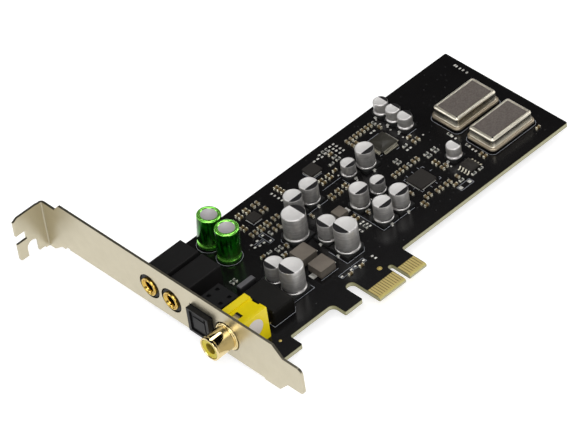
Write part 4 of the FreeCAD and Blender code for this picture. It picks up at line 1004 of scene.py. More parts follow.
@dataclass
class CircuitBoard(SubAssembly):
    """The bare board: lacquer, contacts, screen print, pads without parts, vias and tracks.

    A place is (x, y), a box (x, y, length, width), a gold dot or ring (x, y, radius), an
    oscillator's outline (length, width, corner), and the tracks' limits are (right, near, far).
    """

    plain: ClassVar[dict[str, Finish]] = {
        "circuit_board": SolderMask(),
        "edge_contacts_front": CONTACT_GOLD, "edge_contacts_back": CONTACT_GOLD,
    }
    print_width: float = 0.14
    print_height: float = 0.02
    ring_centres: Points = ((28.85, 50.8), (28.9, 60.1))
    ring_radius: float = 4.32
    oscillator_line: Triple = (21.0, 13.2, 2.0)
    paths: tuple[Points, ...] = (
        ((43.8, 59.0), (43.8, 55.4), (47.5, 55.4)),
        ((71.3, 56.1), (74.8, 56.1)), ((70.5, 57.0), (70.5, 60.5)),
        ((50.2, 27.8), (50.2, 19.2), (57.5, 19.2), (59.0, 20.7)),
        ((68.2, 35.0), (68.2, 21.1), (82.0, 21.1)), ((44.0, 42.0), (44.0, 43.0), (45.3, 44.2)),
        ((76.7, 45.0), (76.7, 48.5)), ((58.0, 45.4), (67.0, 45.4)),
        ((69.0, 49.8), (77.0, 49.8)), ((104.8, 47.3), (109.0, 47.3)), ((94.5, 55.4), (99.7, 55.4)),
        ((101.3, 48.0), (101.3, 53.7)), ((92.2, 47.0), (93.4, 47.0)), ((97.9, 45.2), (99.1, 45.2)),
        ((15.8, 31.5), (15.8, 16.3), (24.6, 16.3), (26.2, 17.9), (26.2, 31.5)),
        ((39.5, 20.0), (47.0, 20.0)),
        ((37.5, 48.5), (41.0, 48.5)), ((37.5, 47.8), (41.0, 47.8)),
        ((27.2, 28.5), (27.2, 19.5), (36.0, 19.5), (36.0, 28.5)),
        # the ticks round the square chip
        ((90.7, 32.8), (90.7, 33.8)), ((93.2, 32.8), (93.2, 33.8)), ((95.7, 32.8), (95.7, 33.8)),
        ((92.3, 23.4), (92.3, 24.4)), ((94.6, 23.4), (94.6, 24.4)), ((87.7, 30.2), (88.7, 30.2)),
        ((87.7, 27.5), (88.7, 27.5)), ((97.2, 29.5), (98.2, 29.5)),
    )
    box_corner: float = 0.05
    boxes: tuple[tuple[float, ...], ...] = (
        (42.2, 47.9, 1.9, 5.4), (46.9, 16.5, 5.2, 1.7), (52.5, 16.5, 5.0, 1.7), (99.75, 16.0, 5.6, 2.2),
    )
    chip_middle: Point = (92.98, 28.6)
    chip_corner: float = 4.25
    corner_arm: float = 0.9
    pad_height: float = 0.07
    bare_pad: Point = (0.9, 0.7)
    bare_pads: Points = (
        (36.8, 49.2), (36.8, 47.5), (39.3, 49.2), (38.4, 46.9), (40.2, 46.9), (42.2, 49.7), (42.2, 46.0),
        (57.6, 61.7), (57.6, 60.2), (57.6, 58.4), (57.6, 56.8), (77.0, 62.0), (78.6, 62.0),
        (80.2, 63.0), (80.2, 61.6), (85.2, 63.2), (85.2, 61.6), (86.8, 63.2), (86.8, 61.7),
        (85.2, 60.2), (85.2, 58.5), (86.8, 60.0), (86.8, 58.5), (98.3, 57.4), (99.7, 57.4),
        (99.9, 42.3), (101.3, 42.3), (40.0, 38.4), (41.5, 38.4), (63.5, 27.5), (63.5, 26.2),
        (67.0, 27.5), (67.0, 26.1), (65.7, 29.2), (66.9, 29.2), (57.6, 14.2), (57.6, 15.7),
        (44.9, 16.4), (49.0, 16.4), (50.8, 16.5), (54.4, 16.4), (113.3, 26.0), (113.3, 24.6),
        (113.6, 35.6), (113.6, 34.0), (139.3, 59.6), (139.3, 58.7), (139.2, 57.1), (139.2, 55.7),
        (139.2, 53.9),
    )
    large_pad: Point = (1.2, 1.4)
    large_pads: Points = ((97.8, 16.1), (101.7, 16.1))
    tin_dot: float = 0.34
    tin_dots: Points = (
        (62.8, 45.0), (79.5, 44.6), (86.0, 43.3), (80.3, 46.0), (103.8, 55.3), (103.7, 50.0),
        (103.9, 60.7), (103.3, 27.6), (108.3, 43.6), (50.3, 23.4), (50.7, 31.8), (71.5, 20.6),
        (78.9, 20.6), (75.9, 34.6), (77.3, 51.1), (103.3, 58.2), (103.4, 53.5), (103.4, 47.8),
        (103.1, 25.7),
    )
    gold_dots: tuple[Triple, ...] = ((12.7, 10.7, 0.50), (55.0, 9.8, 0.50))
    dot_ring: Triple = (55.0, 9.8, 0.72)
    ring_half: float = 0.1
    crowd: tuple[str, ...] = (
        "large_can_bases", "medium_can_bases", "small_can_bases", "can_terminals", "inductor_terminals",
        "inductor_1", "inductor_2", "inductor_3", "square_chip_leads", "eight_lead_chip_leads",
        "large_flat_chip", "small_flat_chip", "upper_flat_chip", "chip_capacitors", "chip_resistors",
        "jack_1_housing", "jack_2_housing", "optical_housing", "coax_housing", "bracket_screws",
        "radial_sleeve_1", "radial_sleeve_2", "oscillator_1_header", "oscillator_2_header", "relay_case",
        "film_capacitor",
    )
    pad_clearance: float = 0.7
    via_count: int = 150
    via_margin: float = 0.45
    via_pitch: float = 1.2
    via_area: tuple[Span, Span] = ((28, 139), (13, 64.5))
    via_radius: float = 0.32
    via_profile: Points = ((0.0, 0.0), (0.06, 0.03), (0.14, 0.03), (0.17, 0.0), (0.2, 0.005))
    track_groups: int = 26
    track_area: tuple[Span, Span] = ((32, 120), (16, 58))
    track_limits: Triple = (140.0, 12.5, 64.8)
    track_run: Span = (6, 16)
    track_drop: Span = (2, 5)
    track_lanes: tuple[int, int] = (1, 5)
    track_reach: float = 1.7
    shortest_span: float = 0.1
    track_pitch: float = 0.7
    track_width: float = 0.22
    track_height: float = 0.03
    seed: int = 7

    def make(self) -> None:
        """Adds everything that is printed or plated on the board."""
        self.screen_print()
        self.pads()
        self.vias()
        self.tracks()

    def ring(self, outline: Outline, x: float, y: float) -> Skin:
        """A printed line along an outline, as a closed frame.

        Args:
            outline: the line's middle.
            x: where it is centred.
            y: where it is centred.

        Returns:
            The frame, on the component face.
        """
        half, top = self.print_width / 2, self.print_height
        line = [(half, 0.0), (half, top), (-half, top), (-half, 0.0)]
        return stacked(outline, line, loop=True).moved(x, y)

    def screen_print(self) -> None:
        """All the white lines on the component face."""
        parts = [self.ring(circle(self.ring_radius, 64), x, y) for x, y in self.ring_centres]
        for number in (1, 2):
            middle = extent(f"oscillator_{number}_header").middle
            parts.append(self.ring(rounded_box(*self.oscillator_line), *middle[:2]))
        parts += [self.ring(rounded_box(length, width, self.box_corner, 1), x, y)
                  for x, y, length, width in self.boxes]
        corners = []
        for side in ((1, 1), (-1, 1), (-1, -1), (1, -1)):
            x, y = (middle + sign * self.chip_corner for middle, sign in zip(self.chip_middle, side))
            corners.append(((x - side[0] * self.corner_arm, y), (x, y), (x, y - side[1] * self.corner_arm)))
        for path in (*self.paths, *corners):
            parts += strips(path, self.print_width, 0.0, self.print_height)
        self.shelf.piece("screen_print", "board", [Ink()], parts)

    def pads(self) -> None:
        """Tinned pads that carry no part, the small tinned test dots and the gilt ones."""
        parts = [pillow(*self.bare_pad, self.pad_height).moved(x, y) for x, y in self.bare_pads]
        parts += [pillow(*self.large_pad, self.pad_height).moved(x, y) for x, y in self.large_pads]
        dot = stacked(circle(self.tin_dot, 12), [(0, 0)] + eased((0, 0.02), (0.25, self.pad_height), 3))
        parts += [dot.moved(x, y) for x, y in self.tin_dots]
        self.shelf.piece("tinned_pads", "tin", [TIN], parts)
        spots = [stacked(circle(radius, 20), [(0, 0), (0, 0.03), (0.06, 0.045)]).moved(x, y)
                 for x, y, radius in self.gold_dots]
        x, y, radius = self.dot_ring
        inner, outer, top = radius - self.ring_half, radius + self.ring_half, self.track_height
        spots.append(lathe([(inner, 0.0), (outer, 0.0), (outer, top), (inner, top)], 24).moved(x, y))
        self.shelf.piece("gold_dots", "gold", [DOT_GOLD], spots)

    def clear_spots(self) -> list[Point]:
        """Draws places for the vias from the seed.

        Returns:
            Those that lie clear of every part, pad and dot, and of each other.
        """
        rng = np.random.default_rng(self.seed)
        taken = [(*block.low[:2], *block.high[:2]) for node in self.crowd for block in islands(node)]
        reach = self.pad_clearance
        taken += [(x - reach, y - reach, x + reach, y + reach) for x, y in self.bare_pads + self.tin_dots]
        left, near, right, far = np.array(taken).T
        spots: list[Point] = []
        while len(spots) < self.via_count:
            x, y = (float(rng.uniform(*limits)) for limits in self.via_area)
            apart = np.maximum(np.maximum(left - x, x - right), np.maximum(near - y, y - far))
            clear = apart.min() > self.via_margin
            if clear and all(math.dist((x, y), spot) > self.via_pitch for spot in spots):
                spots.append((x, y))
        return spots

    def vias(self) -> None:
        """Plated through holes under the lacquer: a low ring with a dimple, on both faces."""
        mound = stacked(circle(self.via_radius, 12), self.via_profile)
        under = mound.turned(UPSIDE_DOWN).moved(z=extent("circuit_board").low[2])
        self.shelf.piece("board_vias", "board", [TRACK_LACQUER],
                         [side.moved(x, y) for x, y in self.clear_spots() for side in (mound, under)])

    def tracks(self) -> None:
        """Copper runs under the lacquer of the back: straight, one bend of 45 degrees, straight."""
        rng = np.random.default_rng(self.seed + 1)
        right, near, far = self.track_limits
        bottom = extent("circuit_board").low[2]
        parts = []
        for _ in range(self.track_groups):
            x, y = (rng.uniform(*limits) for limits in self.track_area)
            run, drop = rng.uniform(*self.track_run), rng.uniform(*self.track_drop) * rng.choice([-1, 1])
            for lane in range(int(rng.integers(*self.track_lanes))):
                start = y + lane * self.track_pitch
                path = [(x, start), (x + run, start), (x + run + abs(drop), start + drop),
                        (x + self.track_reach * run, start + drop)]
                path = [(min(a, right), min(max(b, near), far)) for a, b in path]
                for span in zip(path, path[1:]):
                    if math.dist(*span) > self.shortest_span:
                        parts += strips(span, self.track_width, bottom - self.track_height, bottom)
        self.shelf.piece("back_tracks", "board", [TRACK_LACQUER], parts)


@dataclass
class Sockets(SubAssembly):
    """The jacks and the optical output. A collar's lip is (inset, depth behind its front)."""

    plain: ClassVar[dict[str, Finish]] = {
        "jack_1_housing": JACK_BLACK, "jack_2_housing": JACK_BLACK,
        "jack_1_contacts": CONTACT_METAL, "jack_2_contacts": CONTACT_METAL,
        "optical_housing": OPTICAL_BLACK, "optical_shutter": OPTICAL_BLACK,
        "shutter_spring": CONTACT_METAL, "emitter_module": RESIN,
    }
    bore: float = 1.8
    sleeve: float = 2.22
    outer: float = 3.25
    gold_depth: float = 1.5
    lip: Points = ((0.0, 0.9), (0.0, 0.22), (0.07, 0.07), (0.22, 0.0), (0.42, 0.04), (0.52, 0.14),
                   (0.62, 0.36), (0.72, 0.38), (0.80, 0.20), (0.90, 0.12), (1.04, 0.14))

    def make(self) -> None:
        """Turns the two collars: rounded outer lip, dark groove, inner lip and countersunk bore."""
        for number in (1, 2):
            node = f"jack_{number}_collar"
            block = extent(node)
            back, front = -block.high[0], -block.low[0]
            profile = [(self.sleeve, back), (self.sleeve, front - 0.95)]
            profile += [(self.outer - inset, front - depth) for inset, depth in self.lip]
            profile += [(self.bore + 0.12, front - 0.45), (self.bore, front - 0.75),
                        (self.bore, front - self.gold_depth), (self.bore, back)]
            # the bore past the gold takes near-black: the housing's black plastic, deepened with painted
            # shade
            collar = lathe(profile).bored(self.bore + 0.2, front - self.gold_depth)
            self.shelf.piece(f"turned_collar_{number}", "gold", [COLLAR_GOLD, HOLLOW_SHADE_BLACK],
                             [collar.turned(TO_MINUS_X).moved(0, *block.middle[1:])], [node], smooth=35)


@dataclass
class CoaxOutput(SubAssembly):
    """The coaxial output: gold barrel with its lip, deep yellow funnel, ground spring and sticker.

    The profiles of the barrel hold (radius, distance from the bracket's face) for its foot and
    (radius, distance behind its tip) for its tip, as that of the insulator does.
    """

    plain: ClassVar[dict[str, Finish]] = {"coax_housing": YELLOW, "coax_centre_contact": CONTACT_METAL}
    foot: Points = ((4.15, -0.9), (5.0, -0.86), (5.0, 0.16), (4.95, 0.34), (4.82, 0.46), (4.66, 0.5),
                    (4.50, 0.46), (4.38, 0.36), (4.30, 0.34), (4.12, 0.40), (4.04, 0.60), (4.06, 0.80),
                    (4.12, 0.90))
    tip: Points = ((4.12, 1.0), (4.06, 0.95), (4.06, 0.80), (4.15, 0.72), (4.15, 0.22), (4.10, 0.07),
                   (3.98, 0.0), (3.72, 0.0), (3.58, 0.05), (3.50, 0.18), (3.46, 0.40))
    barrel_back: Span = (4.15, 3.45)
    funnel: Points = ((3.44, 0.28), (3.30, 0.22), (3.12, 0.28), (2.60, 0.36), (2.14, 0.44), (1.98, 0.54),
                      (1.90, 0.90), (1.80, 2.6), (1.62, 6.0))
    bore_edge: float = 2.1
    bore_shade: float = 0.5
    sticker_scale: float = 1.17
    spring_start: float = 1.75
    spring_length: float = 2.55
    spring_top: float = 11.95
    spring_thick: float = 0.16
    lip_rise: float = 0.28
    lip_share: float = 0.28
    spring_sides: Span = (-19.9, -17.7)
    # the end of the plate past this takes paler nickel, a painted sheen
    sheen_from: float = 3.9
    # a black plate behind the window, a painted shadow of the slot: its outline and heights
    slot: Points = ((4.36, 17.45), (5.26, 17.45), (5.26, 20.15), (4.36, 20.15))
    shadow_heights: Span = (11.7, 12.15)

    def make(self) -> None:
        """Turns the barrel and the insulator, and adds the sticker and the spring."""
        block = extent("coax_barrel")
        tip, back = -block.low[0], -block.high[0]
        outside, inside = self.barrel_back
        barrel = lathe([(outside, back), *self.foot, *((radius, tip - depth) for radius, depth in self.tip),
                        (inside, back)], 80)
        back = -extent("coax_insulator").high[0]
        ring = lathe([(self.funnel[0][0], back), *((radius, tip - depth) for radius, depth in self.funnel),
                      (self.funnel[-1][0], back)])
        # painted shade: the bore faces deep behind the tip take the darker yellow
        ring = ring.bored(self.bore_edge, tip - self.bore_shade)
        barrel, ring = (skin.turned(TO_MINUS_X).moved(0, *block.middle[1:]) for skin in (barrel, ring))
        self.shelf.piece("turned_barrel", "gold", [COAX_GOLD], [barrel], ["coax_barrel"], smooth=28)
        self.shelf.piece("deep_insulator", "yellow_plastic", [FUNNEL, FUNNEL_SHADE], [ring],
                         ["coax_insulator"], smooth=35)
        self.shelf.piece("round_sticker", "sticker_paper", [STICKER], [self.sticker()], ["coax_sticker"])
        self.shelf.piece("ground_spring", "gold", [CONTACT_GOLD, NICKEL, HOLLOW_SHADE_BLACK], self.spring())

    def sticker(self) -> Skin:
        """The paper disc, laid on the plane of the model's own one.

        Returns:
            The disc, a little larger than the model's.
        """
        points, _ = node_points("coax_sticker")
        middle, spread = main_axes(points)
        normal = spread[2] * -np.sign(spread[2][1])
        reach = float(np.linalg.norm((points - middle) @ spread[:2].T, axis=1).max()) * self.sticker_scale
        half = float(np.ptp((points - middle) @ normal)) / 2
        disc = stacked(circle(reach, 40), [(0.0, -half), (0.0, half - 0.01), (0.03, half)])
        return disc.turned(tilted(normal)).moved(*middle)

    def spring(self) -> list[Skin]:
        """The ground spring in the housing's window, and a black plate behind it as painted shadow.

        The plate's upper side lies level and rises in a straight line over the last share of its
        length, which is the lip.

        Returns:
            The plate, and the black sheet of painted shadow behind it.
        """
        share = np.linspace(0.0, 1.0, 13)
        rise = self.lip_rise * np.maximum(share - (1 - self.lip_share), 0) / self.lip_share
        upper = np.column_stack([self.spring_start + self.spring_length * share, self.spring_top + rise])
        lower = upper - (0.0, self.spring_thick)
        plate = prism(np.concatenate([lower, upper[::-1]]), *self.spring_sides).turned(UPRIGHT)
        # painted sheen: the end of the lip takes the paler nickel instead of the gold
        return [plate.split(lambda middle: middle[0] > self.sheen_from),
                # painted shadow: a black plate in the slot behind the spring
                prism(self.slot, *self.shadow_heights).shaded(2)]


@dataclass
class RadialCapacitors(SubAssembly):
    """The two capacitors in green shrink sleeve, as they lean. Their crimp is (inset, height)."""

    plain: ClassVar[dict[str, Finish]] = {
        "radial_bung_1": RUBBER, "radial_bung_2": RUBBER, "radial_leads": TIN,
    }
    radius: float = 4.0
    height: float = 12.4
    film: float = 0.12
    rim: float = 0.55
    mouth: float = 2.85
    crimp: Points = ((0.0, 0.9), (0.14, 1.25), (0.40, 1.6), (0.40, 1.8), (0.16, 2.2), (0.0, 2.6))
    can_radius: float = 3.82
    can_height: float = 12.25
    score_angles: Triple = (90, 210, 330)
    score_middle: Point = (0.05, 0.0)
    score_reach: float = 2.1
    score_width: float = 0.16

    def make(self) -> None:
        """Stands a sleeve and a can on each foot, leant along its axis."""
        for number in (1, 2):
            node = f"radial_sleeve_{number}"
            foot, axis = self.stand(node)
            sleeve, can = ([skin.turned(tilted(axis)).moved(*foot)] for skin in (self.sleeve(), self.can()))
            self.shelf.piece(f"shrink_sleeve_{number}", "green_sleeve", [Film()], sleeve, [node], smooth=70)
            self.shelf.piece(f"radial_shell_{number}", "radial_aluminium", [RADIAL_TOP], can,
                             [f"radial_can_{number}"], smooth=50)

    def stand(self, node: str) -> tuple[np.ndarray, np.ndarray]:
        """Where a leaning sleeve stands.

        Args:
            node: the sleeve's name.

        Returns:
            The middle of its lowest ring, and the direction in which it leans.
        """
        points, _ = node_points(node)
        middle, spread = main_axes(points)
        axis = max(spread, key=lambda row: abs(row[2]))
        axis = axis * np.sign(axis[2])
        along = (points - middle) @ axis
        return points[along < along.min() + 0.05].mean(0), axis

    def sleeve(self) -> Skin:
        """The film, down the outside and back up the inside.

        Returns:
            A tube, open below, drawn into the crimp and rolled over the top edge to its mouth.
        """
        edge, top = self.radius - self.mouth, self.height
        outer = [(0.55, 0.0), (0.12, 0.04), (0.0, 0.25), *self.crimp, *shoulder(0.0, top, self.rim, 6),
                 (edge - 0.06, top), (edge, top - 0.05)]
        inner = [(inset + self.film, max(z - self.film, 0.05)) for inset, z in outer[::-1]]
        return stacked(circle(self.radius, 64), outer + inner, loop=True)

    def can(self) -> Skin:
        """The aluminium can inside the sleeve.

        Returns:
            The can, with a shallow three-way score on its top.
        """
        top = self.can_height
        profile = [(0.2, 0.2), (0.0, 0.3), *self.crimp, *shoulder(0.0, top, 0.5, 4),
                   (1.0, top), (1.08, top - 0.05), (self.can_radius - 0.2, top - 0.05)]
        parts = [stacked(circle(self.can_radius, 56), profile)]
        for angle in self.score_angles:
            end = about_z(angle)[:2, 0] * self.score_reach
            parts += strips([self.score_middle, end], self.score_width, top - 0.06, top - 0.03)
        return joined(parts)


class CanSize(Enum):
    """The three sizes of surface capacitor, as the model's nodes name them."""

    LARGE = "large"
    MEDIUM = "medium"
    SMALL = "small"


@dataclass
class SurfaceCapacitors(SubAssembly):
    """One size of surface capacitor: drawn can with its crimp, and the black base."""

    size: CanSize
    flare: float = 0.16
    edge: float = 0.45
    crimp: float = 0.28

    def make(self) -> None:
        """Replaces the plain cans of this size, each turned as its base is."""
        size = self.size.value
        cans, bases = islands(f"{size}_cans"), islands(f"{size}_can_bases")
        parts = []
        for can in cans:
            base = min(bases, key=lambda base: math.dist(base.middle[:2], can.middle[:2]))
            parts.append(self.can(can).turned(about_z(base.facing)).moved(*can.middle[:2]))
        coat = CanCoat(cans[-1].size[0] / 2 - self.flare)
        self.shelf.piece(f"{size}_can_shells", "can_aluminium", [coat], parts, [f"{size}_cans"], smooth=60)
        self.shelf.dress(f"{size}_can_bases", BASE_BLACK)

    def can(self, block: Block) -> Skin:
        """One can about the Z axis.

        Args:
            block: the box of the model's own can.

        Returns:
            Its flared foot, crimp groove, straight wall and rounded top edge.
        """
        low, high, flared = block.low[2], block.high[2], block.size[0] / 2
        step, crimp, top = self.flare, self.crimp, self.flare + self.edge
        profile = [(0.9, low), (step * 0.4, low)]
        profile += eased((step * 0.2, low + 0.02), (0.0, low + 0.14), 2, hollow=True)
        profile += [(0.0, low + 0.32), (step * 0.5, low + 0.42), (step + crimp, low + 0.62),
                    (step + crimp * 1.1, low + 0.78), (step + crimp * 0.6, low + 1.05),
                    (step + crimp * 0.15, low + 1.35), (step, low + 1.55)]
        profile += shoulder(step, high, self.edge, 5)
        profile += [(top + 0.12, high), (top + 0.2, high - 0.02), (flared - 0.5, high - 0.02)]
        return stacked(circle(flared, 56), profile)


@dataclass
class Oscillators(SubAssembly):
    """The two metal oscillator modules.

    The flange is (inset, height), and the top is (inset past the wall, depth below the highest).
    """

    plain: ClassVar[dict[str, Finish]] = {"oscillator_pins": TIN, "oscillator_beads": BEAD}
    corner: float = 2.0
    wall_inset: float = 0.85
    wall_foot: float = 1.25
    top_round: float = 0.78
    flange_top: float = 1.12
    flange: Points = ((0.6, 0.0), (0.20, 0.02), (0.05, 0.08), (0.0, 0.18), (0.05, 0.62), (0.12, 0.80),
                      (0.22, 0.90), (0.40, 0.97), (0.62, 1.02), (0.76, 1.08))
    top: Points = ((1.02, 0.0), (1.08, 0.04), (1.4, 0.05))
    dimple: float = 0.34
    dimple_place: Point = (2.05, 1.85)

    def make(self) -> None:
        """Replaces each lid and header by one cover, with the dark mark that shows pin one."""
        for number in (1, 2):
            nodes = [f"oscillator_{number}_lid", f"oscillator_{number}_header"]
            block = extent(*nodes)
            length, width, height = block.size
            x, y = self.dimple_place
            spot = stacked(circle(self.dimple, 16), [(0, -0.1), (0, 0.02), (0.05, 0.035)]).shaded(1)
            spot = spot.moved(-length / 2 + x, -width / 2 + y, height - 0.03)
            skins = [skin.moved(*block.middle[:2], block.low[2]) for skin in (self.cover(block.size), spot)]
            self.shelf.piece(f"oscillator_cover_{number}", "oscillator_steel",
                             [LidPlate(), BASE_BLACK, NICKEL], skins, nodes, smooth=50)

    def cover(self, size: np.ndarray) -> Skin:
        """Header and drawn lid, welded all round.

        Args:
            size: length, width and height of the whole module.

        Returns:
            One bulging weld flange, upright wall and rounded top edge.
        """
        side, height = self.wall_inset, size[2]
        profile = [*self.flange, (side, self.wall_foot), *shoulder(side, height, self.top_round, 6)]
        profile += [(side + inset, height - depth) for inset, depth in self.top]
        shell = stacked(rounded_box(size[0], size[1], self.corner, 8), profile)
        return shell.split(lambda middle: middle[2] < self.flange_top, 2)


@dataclass
class Inductors(SubAssembly):
    """Three inductors pressed from iron powder, on broad tin terminals."""

    plain: ClassVar[dict[str, Finish]] = {"inductor_terminals": TIN}
    corner: float = 0.45
    draft: float = 0.05
    top_round: float = 0.14

    def make(self) -> None:
        """Replaces the three bodies."""
        for number in (1, 2, 3):
            node = f"inductor_{number}"
            block = islands(node)[0]
            length, width, height = block.size
            profile = [(0.12, 0.0), (0.0, 0.15), (0.0, height * 0.34), (self.draft, height * 0.36)]
            profile += shoulder(self.draft, height, self.top_round, 3)
            skin = stacked(rounded_box(length, width, self.corner, 3), profile)
            self.shelf.piece(f"{node}_core", "inductor_ferrite", [PRESSED_POWDER],
                             [skin.moved(*block.middle[:2], block.low[2])], [node])


@dataclass
class Chips(SubAssembly):
    """The moulded chips, their leads and pin-one marks.

    A land is (length, width, height, corner), and a mark (radius, distance in from both edges).
    """

    plain: ClassVar[dict[str, Finish]] = {"square_chip_leads": WARM_TIN}
    leaded_chips: tuple[tuple[str, Finish], ...] = (
        ("square_chip", GLOSSY_EPOXY), ("eight_lead_chip", CHIP_EPOXY),
    )
    flat_chips: tuple[str, ...] = ("large_flat_chip", "small_flat_chip", "upper_flat_chip")
    parting: float = 0.45
    lead_width: float = 0.46
    lead_thick: float = 0.17
    land_pitch: float = 0.5
    land: tuple[float, ...] = (0.26, 0.42, 0.08, 0.05)
    land_shift: float = 0.16
    leaded_mark: tuple[float, float] = (0.38, 0.95)
    flat_mark: tuple[float, float] = (0.26, 0.7)

    def make(self) -> None:
        """Replaces the plain blocks by tapered mouldings."""
        for node, finish in self.leaded_chips:
            self.leaded(node, finish)
        for node in self.flat_chips:
            self.flat(node)
        self.gull_wings("eight_lead_chip_leads", "eight_lead_chip")

    def leaded(self, node: str, finish: Finish) -> None:
        """A body whose sides taper both ways from the parting line, where the leads come out.

        Args:
            node: the plain body that it replaces.
            finish: its plastic.
        """
        block = islands(node)[0]
        length, width, height = block.size
        line = height * self.parting
        profile = [(0.16, 0), (0.12, 0.03), (0.02, line - 0.03), (0.0, line), (0.02, line + 0.03),
                   (0.16, height - 0.05), (0.21, height)]
        body = stacked(rounded_box(length, width, 0.12, 2), profile)
        radius, inset = self.leaded_mark
        dot = stacked(circle(radius, 20), [(0, 0), (0, 0.012), (0.05, 0.012), (0.1, 0.004), (0.2, 0.003)])
        dot = dot.moved(-length / 2 + inset, -width / 2 + inset, height)
        self.shelf.piece(f"{node}_moulding", "chip_plastic", [finish],
                         [skin.moved(*block.middle[:2], block.low[2]) for skin in (body, dot)], [node])

    def flat(self, node: str) -> None:
        """A thin square body with its row of tin lands just showing round its foot.

        Args:
            node: the plain body that it replaces.
        """
        block = islands(node)[0]
        length, width, height = block.size
        body = stacked(rounded_box(length - 0.04, width - 0.04, 0.06, 2),
                       [(0, 0.02), (0, height - 0.04), (0.04, height)])
        radius, inset = self.flat_mark
        dot = stacked(circle(radius, 16), [(0, 0), (0, 0.01), (0.05, 0.01), (0.12, 0.003)])
        parts = [body, dot.moved(-length / 2 + inset, -width / 2 + inset, height)]
        count = int(length / self.land_pitch) - 2
        land = pillow(*self.land).shaded(1)
        for number in range(count):
            along = (number - (count - 1) / 2) * self.land_pitch
            parts += [land.moved(along, length / 2 + self.land_shift).turned(about_z(90 * turn))
                      for turn in range(4)]
        self.shelf.piece(f"{node}_moulding", "chip_plastic", [CHIP_EPOXY, TIN],
                         [part.moved(*block.middle[:2]) for part in parts], [node])

    def gull_wings(self, node: str, chip: str) -> None:
        """Leads that leave the body level, turn down and end in a flat foot in its solder.

        Args:
            node: the plain leads that they replace.
            chip: the chip from which they point away.
        """
        centre = extent(chip).middle
        half, thick = self.lead_width / 2, self.lead_thick
        parts = []
        for lead in islands(node):
            away = lead.middle - centre
            axis = int(np.argmax(lead.size[:2]))
            angle = math.degrees(math.atan2(away[1] * axis, away[0] * (1 - axis)))
            reach, top = lead.size[axis], lead.size[2]
            upper = [(reach, 0.16), (0.72, 0.17), (0.62, 0.24), (0.50, top - 0.16), (0.38, top - 0.02),
                     (0.24, top), (0.0, top)]
            lower = [(0.0, top - thick), (0.20, top - thick), (0.30, top - 0.24), (0.44, 0.14),
                     (0.58, 0.02), (reach, 0.0)]
            wing = prism(upper + lower, -half, half).turned(UPRIGHT)
            toe = pillow(0.62, self.lead_width + 0.18, 0.20).moved(reach + 0.10)
            parts += [skin.moved(-reach / 2).turned(about_z(angle)).moved(*lead.middle[:2])
                      for skin in (wing, toe)]
        self.shelf.piece(f"{node}_formed", "tin", [WARM_TIN], parts, [node])


class ChipKind(Enum):
    """What a chip part is, with the radius of its edges."""

    CAPACITOR = 0.09
    RESISTOR = 0.03


@dataclass
class ChipParts(SubAssembly):
    """The tiny ceramic capacitors and resistors: body, wrapped tin ends and solder on the pads."""

    cap_length: float = 0.32
    inset: float = 0.05
    fillet: float = 0.30
    fillet_rise: float = 0.45

    def make(self) -> None:
        """Replaces both fields of blocks and adds the solder at their ends."""
        capacitors, resistors = islands("chip_capacitors"), islands("chip_resistors")
        self.shelf.piece("ceramic_capacitors", "capacitor_ceramic", [CERAMIC, WARM_TIN],
                         [self.part(block, ChipKind.CAPACITOR) for block in capacitors],
                         ["chip_capacitors"])
        self.shelf.piece("film_resistors", "resistor_ceramic", [ALUMINA, TIN, RESISTOR_TOP],
                         [self.part(block, ChipKind.RESISTOR) for block in resistors],
                         ["chip_resistors"])
        self.shelf.piece("chip_solder", "tin", [WARM_TIN],
                         [skin for block in capacitors + resistors for skin in self.solder(block)])

    def part(self, block: Block, kind: ChipKind) -> Skin:
        """One part, laid as its block lies.

        Args:
            block: the box of the model's own part.
            kind: a resistor has a dark plate on its top and crisper edges.

        Returns:
            Its body, two wrapped ends and any plate.
        """
        (length, width, turn), height = block.lying, block.size[2]
        inset, rounded = self.inset, kind.value
        parts = [stacked(rounded_box(length - 0.2, width - 2 * inset, rounded, 2),
                         [(0, inset), (0, height - inset - rounded), (rounded, height - inset)])]
        end = stacked(rounded_box(self.cap_length, width, rounded, 2),
                      [(rounded * 0.6, 0), (0, rounded * 0.6), (0, height - rounded), (rounded, height)])
        parts += [end.shaded(1).moved(side * (length - self.cap_length) / 2) for side in (-1, 1)]
        if kind is ChipKind.RESISTOR:
            plate = stacked(rounded_box(length - 2 * self.cap_length, width * 0.86, 0.05, 2),
                            [(0, height - inset - 0.02), (0, height - 0.015), (0.03, height)])
            parts.append(plate.shaded(2))
        return joined(parts).turned(about_z(turn)).moved(*block.middle[:2], block.low[2])

    def solder(self, block: Block) -> list[Skin]:
        """The solder at the ends of a part.

        Args:
            block: the box of the model's own part.

        Returns:
            A hollow-faced fillet past each end, over its pad.
        """
        length, width, turn = block.lying
        rise = eased((0.04, 0.05), (0.18, block.size[2] * self.fillet_rise), 3, hollow=True)
        mound = stacked(rounded_box(self.fillet, width * 0.92, 0.12, 2), [(0, 0), (0.02, 0.04)] + rise)
        return [mound.moved(side * (length / 2 - 0.06)).turned(about_z(turn)).moved(*block.middle[:2])
                for side in (-1, 1)]


